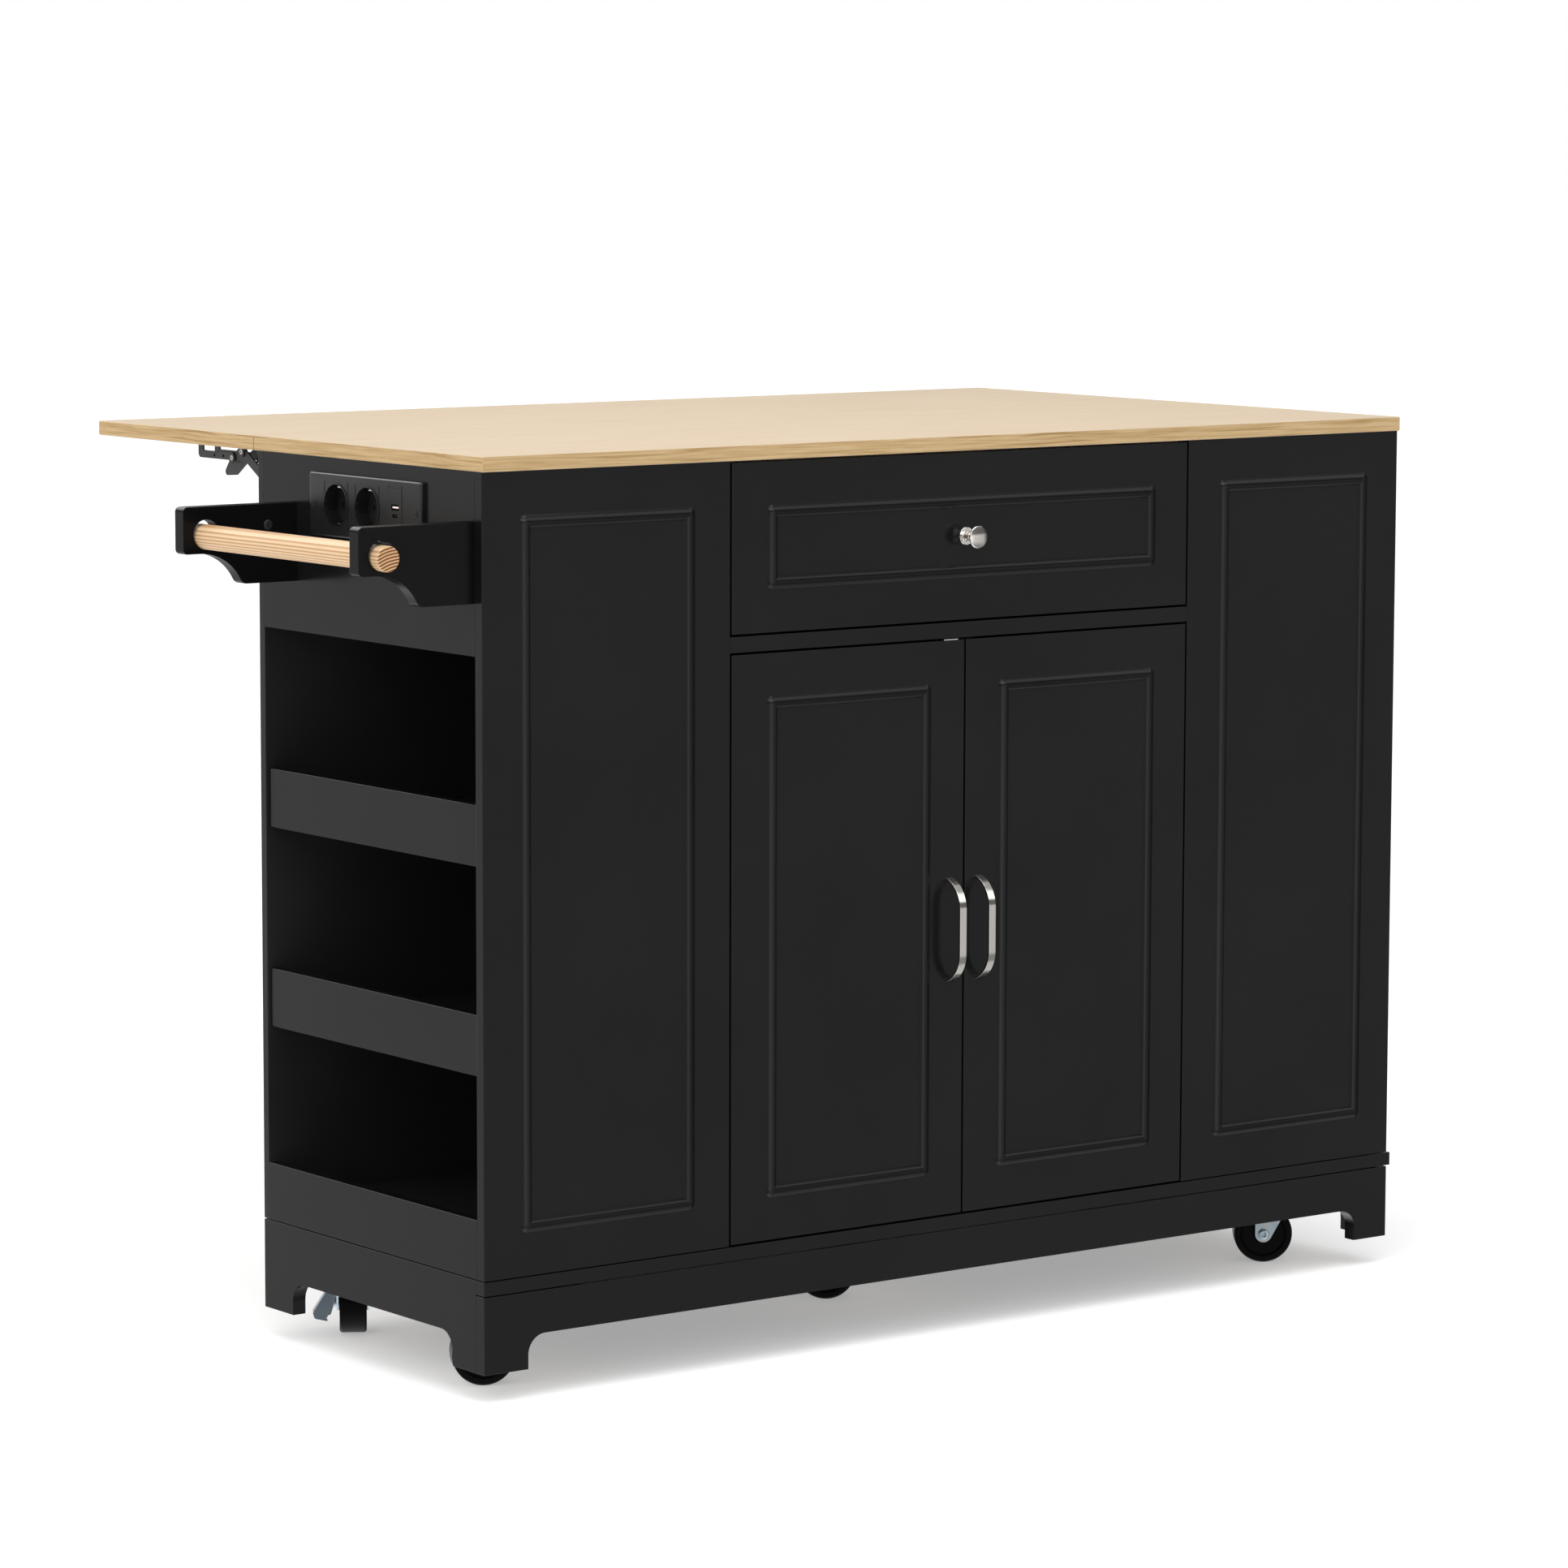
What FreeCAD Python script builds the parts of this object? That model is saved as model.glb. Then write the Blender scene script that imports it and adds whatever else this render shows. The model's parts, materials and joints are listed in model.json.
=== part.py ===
import FreeCAD, Part
import math
import os
from FreeCAD import Vector

# Kitchen island on casters with a drop leaf. All sizes are in millimetres.
# While it is drawn, X runs left to right and Y front to back from the front left corner of the body.
# Z is the height above the floor. The finished pieces are shifted so that the origin is at the middle
# of the footprint, on the floor.

# Levels
floor_clearance = 29.0
plinth_height = 78.0
base_board_thickness = 14.0
body_height = 788.0
worktop_thickness = 15.0

# Body
body_width = 1185.0
body_depth = 404.0
front_panel_thickness = 12.0
front_panel_width = 295.0
back_panel_thickness = 10.0
partition_thickness = 12.0
end_panel_thickness = 12.0
end_panel_height = 178.0
edge_easing = 0.6
seam_gap = 1.0
cut_overrun = 1.0

# Worktop and drop leaf
worktop_end_overhang = 1.0
worktop_front_overhang = 3.0
worktop_back_overhang = 7.0
worktop_easing = 1.0
leaf_gap = 1.0
leaf_depth = 308.0

# Base board and plinth
base_right_overhang = 5.0
base_back_overhang = 1.5
plinth_thickness = 15.0
arch_height = 34.2
arch_corner_radius = 20.0
front_left_foot = 51.5
front_right_foot = 46.0
side_front_foot = 56.0
side_back_foot = 54.0
back_plinth_clearance = 66.0
corner_block_thickness = 19.0

# Drawer front and doors
front_gap = 2.2
top_gap = 2.0
front_thickness = 15.0
drawer_front_height = 170.3
divider_thickness = 16.0

# Raised moulding on every front
moulding_inset = 43.0
moulding_width = 13.0
moulding_crest = 7.5
moulding_height = 3.2
moulding_root = 1.0

# Boards inside
inner_setback = 2.0
inner_board_thickness = 12.0
floor_lift = 12.0
cupboard_shelf_rise = 275.0
cupboard_shelf_setback = 30.0
shelf_side_gap = 1.0
shelf_pin_radius = 2.5
shelf_pin_reach = 9.0
shelf_pin_depth = 8.0
shelf_pin_inset = 45.0
shelf_pin_play = 0.05
top_rail_thickness = 15.0
top_rail_width = 60.0
top_rail_setback = 5.0

# End racks
rack_middle_rise = 201.0
rack_upper_rise = 406.0
rail_height = 60.0
rail_thickness = 12.0
rail_recess = 3.0

# Towel rail
towel_reach = 132.0
towel_plate_thickness = 16.0
towel_plate_span = 303.5
towel_drop = 48.0
towel_root_height = 79.0
towel_head_height = 47.0
towel_head_length = 20.0
towel_cove_radius = 52.0
towel_root_rounding = 8.0
towel_corner_rounding = 5.0
towel_hole_radius = 15.0
towel_hole_inset = 26.4
towel_hole_drop = 28.0
rod_radius = 12.5
rod_rest_gap = 0.3
rod_end_reach = 12.0
rod_rounding = 1.5

# Power strip let into the left end panel
outlet_length = 202.3
outlet_height = 63.0
outlet_setback = 98.0
outlet_drop = 15.0
outlet_proud = 5.0
outlet_rounding = 2.5
outlet_margin = 6.0
outlet_housing_depth = 28.0
outlet_fit = 0.5
socket_radius = 21.0
socket_wall = 1.0
socket_rim_width = 0.4
socket_rim_proud = 0.8
socket_depth = 15.0
socket_floor = 2.0
socket_offset = 96.2
socket_spacing = 56.4
socket_fit = 0.1
pin_hole_radius = 2.5
pin_hole_spacing = 19.0
earth_clip_width = 6.0
earth_clip_thickness = 1.2
earth_clip_length = 11.0
earth_clip_inset = 2.2
usb_offset = 34.1
usb_width = 22.6
usb_height = 46.0
usb_depth = 8.0
usb_proud = 0.3
usb_slot_depth = 6.0
usb_tongue_setback = 1.0
usb_a_size = (13.1, 5.6)
usb_a_tongue = (11.0, 1.9)
usb_a_rise = 4.5
usb_c_size = (9.2, 3.2)
usb_c_tongue = (6.7, 0.8)
usb_c_rise = -4.0
outlet_screw_inset = 9.2
outlet_screw_radius = 3.2
outlet_screw_proud = 0.6
outlet_screw_length = 9.0
outlet_screw_slot = 0.8

# Drawer knob
knob_drop = 85.1
rosette_radius = 9.1
rosette_thickness = 1.5
knob_neck_radius = 4.6
knob_head_radius = 11.35
knob_head_start = 14.0
knob_widest = 19.3
knob_projection = 22.0
knob_rounding = 1.2

# Door pulls
pull_height = 108.0
pull_projection = 24.0
pull_width = 8.5
pull_thickness = 2.5
pull_bend_radius = 33.0
pull_edge_inset = 17.9
pull_drop = 243.5
pull_chamfer = 0.5

# Concealed door hinges
door_axis_gap = 1.1
hinge_end_inset = 100.0
cup_radius = 17.5
cup_depth = 11.5
cup_wall = 1.2
cup_play = 0.1
cup_edge_inset = 22.5
cup_wing_length = 52.0
cup_wing_width = 18.0
cup_wing_thickness = 1.5
cup_screw_radius = 3.4
cup_screw_spacing = 43.0
cup_screw_proud = 0.4
hinge_plate_thickness = 3.0
hinge_plate_height = 32.0
hinge_plate_length = 40.0
hinge_plate_setback = 40.0
hinge_arm_thickness = 9.0
hinge_arm_height = 14.0
hinge_tongue_reach = 20.0
hinge_tongue_thickness = 3.0
hinge_open_degrees = 105.0

# Magnetic catch and strikes
catch_length = 50.0
catch_depth = 18.0
catch_height = 12.0
strike_gap = 0.5
strike_width = 18.0
strike_height = 14.0
strike_thickness = 1.5
strike_inset = 7.4
strike_lip_thickness = 1.0
strike_lip_setback = 1.5

# Drawer box and runners
slide_space = 12.7
drawer_side_thickness = 12.0
drawer_side_height = 110.0
drawer_back_clearance = 22.0
drawer_side_lift = 15.3
drawer_bottom_thickness = 5.0
drawer_bottom_lift = 5.0
slide_back_clearance = 27.0
slide_setback = 2.0
slide_rise = 55.0
slide_sheet = 1.4
slide_outer_half_height = 17.5
slide_outer_lip = 8.0
slide_middle_offset = 2.4
slide_middle_half_height = 14.6
slide_middle_lip = 10.0
slide_inner_half_height = 11.6
slide_inner_offset = 5.0
slide_play = 0.25
slide_overlap = 20.0

# Casters
wheel_radius = 31.75
wheel_width = 28.0
wheel_shoulder = 3.0
wheel_rim_radius = 25.0
wheel_recess = 2.0
wheel_hub_radius = 9.0
wheel_side_play = 0.3
axle_radius = 4.0
axle_play = 0.05
axle_head_radius = 6.0
axle_head_thickness = 1.5
caster_trail = 18.0
caster_inset = 70.0
caster_right_inset = 88.0
caster_front_inset = 76.0
caster_back_inset = 58.0
caster_plate_length = 60.0
caster_plate_width = 48.0
caster_plate_thickness = 2.5
caster_screw_radius = 4.0
caster_screw_height = 2.0
caster_screw_inset = 7.0
swivel_gap = 3.5
swivel_play = 0.3
swivel_boss_radius = 12.0
swivel_head_radius = 19.0
swivel_head_height = 6.5
kingpin_radius = 5.0
kingpin_play = 0.06
kingpin_head_radius = 8.0
kingpin_head_height = 1.7
fork_sheet = 2.0
fork_inner_half = 15.0
fork_crown_thickness = 2.5
fork_lead = 16.0
fork_end_radius = 9.0
caster_rest_degrees = 143.467
front_left_rest_degrees = 153.5
back_left_rest_degrees = 57.58

# Brake pedal on the back left caster
pedal_half_width = 9.0
pedal_sheet = 1.5
pedal_pin_radius = 1.5
pedal_pin_play = 0.05
pedal_pin_out = 4.0
pedal_pin_rise = 12.3
pedal_lug_half_width = 5.0
pedal_lug_radius = 3.0
pedal_reach = 21.0
pedal_height = 30.5
pedal_press_degrees = 12.0

# Folding brackets under the drop leaf
bracket_inset = 48.0
leaf_axis_out = 18.0
leaf_axis_drop = 20.0
bracket_pin_radius = 3.0
bracket_pin_play = 0.05
bracket_head_radius = 5.5
bracket_head_thickness = 1.5
arm_half_width = 10.8
arm_sheet = 2.0
arm_reach = 177.6
arm_depth = 17.3
arm_window_drop = 9.6
arm_window_start = 107.5
arm_window_rounding = 1.5
arm_end_post = 8.9
arm_root_post_end = 90.5
arm_root_start = 8.0
arm_notch_start = 63.5
arm_notch_end = 84.0
arm_ear_radius = 7.0
arm_tip_rounding = 5.0
arm_hole_radius = 1.6
arm_hole_drop = 13.6
arm_hole_places = (128.2, 145.7)
wall_arm_half_width = 17.1
wall_arm_sheet = 2.0
wall_arm_rise = 12.0
wall_arm_fall = 12.0
wall_arm_ear_radius = 8.0
strut_foot_drop = 26.6
strut_foot_pin_radius = 2.0
strut_pin_out = 67.3
strut_pin_rise = 12.9
strut_side_gap = 0.3
strut_sheet = 2.0
strut_half_width = 4.9
lever_start = 6.2
lever_sheet = 1.8
lever_pin_radius = 2.5
lever_pin_out = 110.0
lever_pin_drop = 14.5
lever_reach = 19.5
lever_length = 44.7
lever_pull_degrees = 25.0
leaf_fold_degrees = 90.0

# Levels and places that follow
plinth_top = floor_clearance + plinth_height
body_bottom = plinth_top + base_board_thickness
body_top = body_bottom + body_height
worktop_top = body_top + worktop_thickness
back_panel_front = body_depth - back_panel_thickness
right_panel_left = body_width - front_panel_width
body_middle = body_width / 2
left_bay_face = front_panel_width - partition_thickness
right_bay_face = right_panel_left + partition_thickness
end_panel_bottom = body_top - end_panel_height

drawer_front_top = body_top - top_gap
drawer_front_bottom = drawer_front_top - drawer_front_height
divider_top = drawer_front_bottom - front_gap
divider_bottom = divider_top - divider_thickness
door_top = divider_bottom - front_gap
door_bottom = body_bottom + front_gap
fronts_left = front_panel_width + front_gap
fronts_right = right_panel_left - front_gap
left_door_right = body_middle - front_gap / 2
right_door_left = body_middle + front_gap / 2
inner_front = front_thickness + inner_setback
inner_floor_top = body_bottom + floor_lift + inner_board_thickness
cupboard_shelf_bottom = inner_floor_top + cupboard_shelf_rise

left_axis_x = front_panel_width + door_axis_gap
right_axis_x = right_panel_left - door_axis_gap
hinge_levels = (door_bottom + hinge_end_inset, door_top - hinge_end_inset)

towel_top = body_top - towel_drop
towel_front_plate = front_panel_thickness
towel_back_plate = towel_front_plate + towel_plate_thickness + towel_plate_span
towel_hole_x = towel_hole_inset - towel_reach
towel_hole_z = towel_top - towel_hole_drop
rod_z = towel_hole_z - towel_hole_radius + rod_radius + rod_rest_gap
rod_front = towel_front_plate - rod_end_reach
rod_back = towel_back_plate + towel_plate_thickness + rod_end_reach

outlet_back = outlet_setback + outlet_length
outlet_top = body_top - outlet_drop
outlet_bottom = outlet_top - outlet_height
outlet_middle_z = outlet_top - outlet_height / 2
socket_places = [outlet_setback + socket_offset + n * socket_spacing for n in range(2)]

drawer_left = front_panel_width + slide_space
drawer_right = right_panel_left - slide_space
drawer_side_bottom = drawer_front_bottom + drawer_side_lift
drawer_side_top = drawer_side_bottom + drawer_side_height
drawer_back = back_panel_front - drawer_back_clearance
drawer_floor = drawer_side_bottom + drawer_bottom_lift
slide_z = drawer_side_bottom + slide_rise
slide_front = front_thickness + slide_setback
slide_length = back_panel_front - slide_front - slide_back_clearance
drawer_travel = slide_length - slide_overlap

caster_block_bottom = plinth_top - corner_block_thickness
caster_plate_bottom = caster_block_bottom - caster_plate_thickness
swivel_head_top = caster_plate_bottom - swivel_gap
crown_top = swivel_head_top - swivel_head_height
crown_bottom = crown_top - fork_crown_thickness
fork_outer_half = fork_inner_half + fork_sheet
fork_back = caster_trail + fork_end_radius
pedal_pin_b = fork_outer_half + pedal_pin_out
pedal_pin_z = wheel_radius + pedal_pin_rise
casters = {
    "front_left": (caster_inset, caster_front_inset, front_left_rest_degrees),
    "front_right": (body_width - caster_right_inset, caster_front_inset, caster_rest_degrees),
    "back_left": (caster_inset, body_depth - caster_back_inset, back_left_rest_degrees),
    "back_right": (body_width - caster_right_inset, body_depth - caster_back_inset,
                   caster_rest_degrees),
    "middle": (body_middle, body_depth / 2, caster_rest_degrees),
}

leaf_front = body_depth + worktop_back_overhang + leaf_gap
leaf_back = leaf_front + leaf_depth
leaf_axis_y = body_depth + leaf_axis_out
leaf_axis_z = body_top - leaf_axis_drop
strut_foot_z = leaf_axis_z - strut_foot_drop
strut_start = arm_half_width + bracket_head_thickness + strut_side_gap
strut_end = strut_start + strut_sheet
strut_length = math.hypot(strut_pin_out, strut_foot_drop + strut_pin_rise)
strut_rest_angle = math.atan2(strut_foot_drop + strut_pin_rise, strut_pin_out)
strut_folded_drop = math.sqrt(strut_length ** 2 - strut_pin_rise ** 2)
strut_folded_angle = math.atan2(-strut_folded_drop, strut_pin_rise)
strut_ratio = math.degrees(strut_rest_angle - strut_folded_angle) / leaf_fold_degrees
bracket_places = (bracket_inset, body_width - bracket_inset)

left_most = -towel_reach
right_most = body_width + max(base_right_overhang, worktop_end_overhang)
front_most = -max(pull_projection, knob_projection, worktop_front_overhang)
origin_shift = Vector(-(left_most + right_most) / 2, -(front_most + leaf_back) / 2, 0)


# Basic shapes

# Points closer than this share of a small size count as one point.
coincidence_share = 0.001


def box(x0, x1, y0, y1, z0, z1):
    """A block between two corners."""
    return Part.makeBox(x1 - x0, y1 - y0, z1 - z0, Vector(x0, y0, z0))


def eased_box(x0, x1, y0, y1, z0, z1, easing=edge_easing):
    """A board with its edges softened."""
    board = box(x0, x1, y0, y1, z0, z1)
    return board.makeFillet(easing, board.Edges)


def rod(start, end, radius):
    """A round bar between two points."""
    return Part.makeCylinder(radius, (end - start).Length, start, end - start)


def joined(pieces):
    """One solid from pieces that touch or overlap."""
    return pieces[0].multiFuse(pieces[1:]).removeSplitter()


def rounded_face(corners):
    """A flat face through corners (a, b, rounding), drawn on the XY plane."""
    count = len(corners)
    stops = []
    for n, (a, b, rounding) in enumerate(corners):
        here = Vector(a, b, 0)
        before = Vector(*corners[n - 1][:2], 0)
        after = Vector(*corners[(n + 1) % count][:2], 0)
        if rounding == 0:
            stops.append((here, here, here))
            continue
        back = (before - here).normalize()
        ahead = (after - here).normalize()
        half_angle = back.getAngle(ahead) / 2
        reach = rounding / math.tan(half_angle)
        inwards = (back + ahead).normalize()
        middle = here + inwards * (rounding / math.sin(half_angle) - rounding)
        stops.append((here + back * reach, middle, here + ahead * reach))
    edges = []
    for n, (start, middle, end) in enumerate(stops):
        if start != end:
            edges.append(Part.Arc(start, middle, end).toShape())
        following = stops[(n + 1) % count][0]
        if not following.isEqual(end, edge_easing * coincidence_share):
            edges.append(Part.makeLine(end, following))
    return Part.Face(Part.Wire(edges))


def standing_xz(face, y0, y1):
    """A face drawn as (x, z), made into a plate between two depths."""
    plate = face.extrude(Vector(0, 0, y1 - y0))
    plate.rotate(Vector(0, 0, 0), Vector(1, 0, 0), 90)
    plate.translate(Vector(0, y1, 0))
    return plate


def standing_yz(face, x0, x1):
    """A face drawn as (y, z), made into a plate between two places across."""
    plate = face.extrude(Vector(0, 0, x1 - x0))
    plate.rotate(Vector(0, 0, 0), Vector(1, 1, 1), 120)
    plate.translate(Vector(x0, 0, 0))
    return plate


def bar_face(start, end, radius):
    """A bar with round ends, drawn between two points of a plane."""
    along = (end - start).normalize()
    across = Vector(-along.y, along.x, 0) * radius
    edges = [
        Part.makeLine(start + across, end + across),
        Part.Arc(end + across, end + along * radius, end - across).toShape(),
        Part.makeLine(end - across, start - across),
        Part.Arc(start - across, start - along * radius, start + across).toShape(),
    ]
    return Part.Face(Part.Wire(edges))


# Raised moulding

def slope_face(reach):
    """Half of the bead's section: from its crest at zero down to its foot at reach, rooted below."""
    radius = (reach ** 2 + moulding_height ** 2) / (2 * moulding_height)
    halfway = moulding_height - radius + math.sqrt(radius ** 2 - (reach / 2) ** 2)
    crest = Vector(0, 0, moulding_height)
    foot = Vector(reach, 0, 0)
    foot_root = Vector(reach, 0, -moulding_root)
    crest_root = Vector(0, 0, -moulding_root)
    edges = [
        Part.Arc(crest, Vector(reach / 2, 0, halfway), foot).toShape(),
        Part.makeLine(foot, foot_root),
        Part.makeLine(foot_root, crest_root),
        Part.makeLine(crest_root, crest),
    ]
    return Part.Face(Part.Wire(edges))


def turned(shape, degrees, corner):
    """A copy turned about the upright line at zero, then carried to a corner."""
    copy = shape.copy()
    copy.rotate(Vector(0, 0, 0), Vector(0, 0, 1), degrees)
    copy.translate(corner)
    return copy


def mitred_slope(length, reach):
    """The bead's inner half along one side, cut at 45 degrees at both ends."""
    slope = slope_face(reach)
    slope.rotate(Vector(0, 0, 0), Vector(0, 0, 1), 180)
    side = slope.extrude(Vector(0, length, 0))
    corners = [(0, 0, 0), (0, length, 0), (-reach, length - reach, 0), (-reach, reach, 0)]
    wedge = rounded_face(corners).extrude(Vector(0, 0, moulding_height + moulding_root))
    wedge.translate(Vector(0, 0, -moulding_root))
    return side.common(wedge)


def moulding_frame(x0, x1, z0, z1):
    """The bead's pieces round a rectangle: round outer corners and mitred inner ones."""
    left, right = x0 + moulding_crest, x1 - moulding_crest
    low, high = z0 + moulding_crest, z1 - moulding_crest
    width, height = right - left, high - low
    inner_reach = moulding_width - moulding_crest
    sides = [(Vector(right, low, 0), height), (Vector(right, high, 0), width),
             (Vector(left, high, 0), height), (Vector(left, low, 0), width)]
    outer = slope_face(moulding_crest)
    round_corner = outer.revolve(Vector(0, 0, 0), Vector(0, 0, 1), 90)
    pieces = []
    for n, (corner, length) in enumerate(sides):
        angle = 90 * n
        pieces.append(turned(outer.extrude(Vector(0, length, 0)), angle, corner))
        pieces.append(turned(round_corner, angle - 90, corner))
        pieces.append(turned(mitred_slope(length, inner_reach), angle, corner))
    for piece in pieces:
        piece.rotate(Vector(0, 0, 0), Vector(1, 0, 0), 90)
    return pieces


def moulded_front(x0, x1, z0, z1, thickness):
    """A front board with the raised moulding on its face."""
    board = eased_box(x0, x1, 0, thickness, z0, z1)
    frame = moulding_frame(x0 + moulding_inset, x1 - moulding_inset,
                           z0 + moulding_inset, z1 - moulding_inset)
    return joined([board] + frame)


# Body

def worktop():
    return eased_box(-worktop_end_overhang, body_width + worktop_end_overhang,
                     -worktop_front_overhang, body_depth + worktop_back_overhang,
                     body_top, worktop_top, worktop_easing)


def drop_leaf():
    return eased_box(-worktop_end_overhang, body_width + worktop_end_overhang,
                     leaf_front, leaf_back, body_top, worktop_top, worktop_easing)


def outlet_housing(extra):
    """The part of the power strip that passes through the end panel, with a margin round it."""
    margin = outlet_margin - extra
    return box(-cut_overrun * (extra > 0), outlet_housing_depth + extra,
               outlet_setback + margin, outlet_back - margin,
               outlet_bottom + margin, outlet_top - margin)


def left_end_panel():
    panel = eased_box(0, end_panel_thickness, front_panel_thickness, back_panel_front,
                      end_panel_bottom, body_top)
    return panel.cut(outlet_housing(outlet_fit))


def right_end_panel():
    return eased_box(body_width - end_panel_thickness, body_width, front_panel_thickness,
                     back_panel_front, end_panel_bottom, body_top)


def back_panel():
    return eased_box(0, body_width, back_panel_front, body_depth, body_bottom + seam_gap, body_top)


def shelf_pin_places():
    """Where the shelf pins enter the partitions, as (depth, height)."""
    level = cupboard_shelf_bottom - shelf_pin_radius
    return [(inner_front + cupboard_shelf_setback + shelf_pin_inset, level),
            (back_panel_front - shelf_pin_inset, level)]


def partition(x0, face_x, direction):
    """An upright board with its shelf pin holes; direction points into the cupboard."""
    board = box(x0, x0 + partition_thickness, front_panel_thickness, back_panel_front,
                body_bottom, body_top)
    for y, z in shelf_pin_places():
        inside = Vector(face_x - direction * (shelf_pin_depth + shelf_pin_play), y, z)
        outside = Vector(face_x + direction * cut_overrun, y, z)
        board = board.cut(rod(inside, outside, shelf_pin_radius + shelf_pin_play))
    return board


def shelf_pins():
    pins = []
    for face_x, direction in ((front_panel_width, 1), (right_panel_left, -1)):
        for y, z in shelf_pin_places():
            inside = Vector(face_x - direction * shelf_pin_depth, y, z)
            outside = Vector(face_x + direction * shelf_pin_reach, y, z)
            pins.append(rod(inside, outside, shelf_pin_radius))
    return pins


def base_board():
    """The board on the plinth, notched where the left side plinth rises past it."""
    board = eased_box(0, body_width + base_right_overhang, 0, body_depth + base_back_overhang,
                      plinth_top, body_bottom)
    notch = box(-cut_overrun, plinth_thickness, plinth_thickness,
                body_depth + base_back_overhang + cut_overrun,
                plinth_top - cut_overrun, body_bottom + cut_overrun)
    return board.cut(notch)


def arch_face(start, end):
    """The opening under a plinth board between its two feet."""
    low = floor_clearance - cut_overrun
    high = floor_clearance + arch_height
    return rounded_face([(start, low, 0), (end, low, 0), (end, high, arch_corner_radius),
                         (start, high, arch_corner_radius)])


def front_plinth():
    board = eased_box(0, body_width, 0, plinth_thickness, floor_clearance, plinth_top - seam_gap)
    arch = standing_xz(arch_face(front_left_foot, body_width - front_right_foot),
                       -cut_overrun, plinth_thickness + cut_overrun)
    return board.cut(arch)


def back_plinth():
    """A straight board between the side plinths, high enough for the back casters to swing under."""
    return eased_box(plinth_thickness, body_width - plinth_thickness,
                     body_depth - plinth_thickness, body_depth,
                     back_plinth_clearance, plinth_top - seam_gap)


def side_plinth(x0, top):
    board = eased_box(x0, x0 + plinth_thickness, plinth_thickness, body_depth, floor_clearance, top)
    arch = standing_yz(arch_face(side_front_foot, body_depth - side_back_foot),
                       x0 - cut_overrun, x0 + plinth_thickness + cut_overrun)
    return board.cut(arch)


def corner_blocks():
    """Blocks under the base board that the casters are screwed to; the outer ones brace a plinth."""
    half = caster_inset - plinth_thickness
    blocks = []
    for name, (x, y, angle) in casters.items():
        near = plinth_thickness if name.startswith("front") else y - half
        far = body_depth - plinth_thickness if name.startswith("back") else y + half
        blocks.append(box(x - half, x + half, near, far, caster_block_bottom, plinth_top))
    return blocks


def top_rails():
    near = front_thickness + top_rail_setback
    bottom = body_top - top_rail_thickness
    return [box(front_panel_width, right_panel_left, y, y + top_rail_width, bottom, body_top)
            for y in (near, back_panel_front - top_rail_width)]


def divider():
    return eased_box(front_panel_width, right_panel_left, 0, back_panel_front,
                     divider_bottom, divider_top)


def cupboard_floor():
    """The cupboard's floor board on its two cross battens."""
    low = body_bottom + floor_lift
    board = box(front_panel_width, right_panel_left, inner_front, back_panel_front,
                low, inner_floor_top)
    battens = [box(front_panel_width, right_panel_left, y, y + inner_board_thickness,
                   body_bottom, low)
               for y in (inner_front, back_panel_front - inner_board_thickness)]
    return joined([board] + battens)


def cupboard_shelf():
    return box(front_panel_width + shelf_side_gap, right_panel_left - shelf_side_gap,
               inner_front + cupboard_shelf_setback, back_panel_front - shelf_side_gap,
               cupboard_shelf_bottom, cupboard_shelf_bottom + inner_board_thickness)


# End racks

def rack_shelves(outer_x, inner_x, direction):
    """Three shelves and the board that closes the top tier, each up against the piece before it."""
    flush = outer_x + direction * rail_thickness
    stepped = flush + direction * rail_recess
    boards = []
    for z, start in ((body_bottom + floor_lift, flush), (body_bottom + rack_middle_rise, stepped),
                     (body_bottom + rack_upper_rise, stepped), (end_panel_bottom, flush)):
        boards.append(box(min(start, inner_x), max(start, inner_x), front_panel_thickness,
                          back_panel_front, z, z + inner_board_thickness))
    return boards


def rack_rails(outer_x, direction):
    """Guard rails across the open end: the lowest is flush, the others stand back a little."""
    rails = []
    for rise, lift, recess in ((0, seam_gap, 0), (rack_middle_rise, 0, rail_recess),
                               (rack_upper_rise, 0, rail_recess)):
        face = outer_x + direction * recess
        inner = face + direction * rail_thickness
        bottom = body_bottom + rise
        rails.append(eased_box(min(face, inner), max(face, inner), front_panel_thickness,
                               back_panel_front, bottom + lift, bottom + rail_height))
    return rails


# Towel rail

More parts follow.
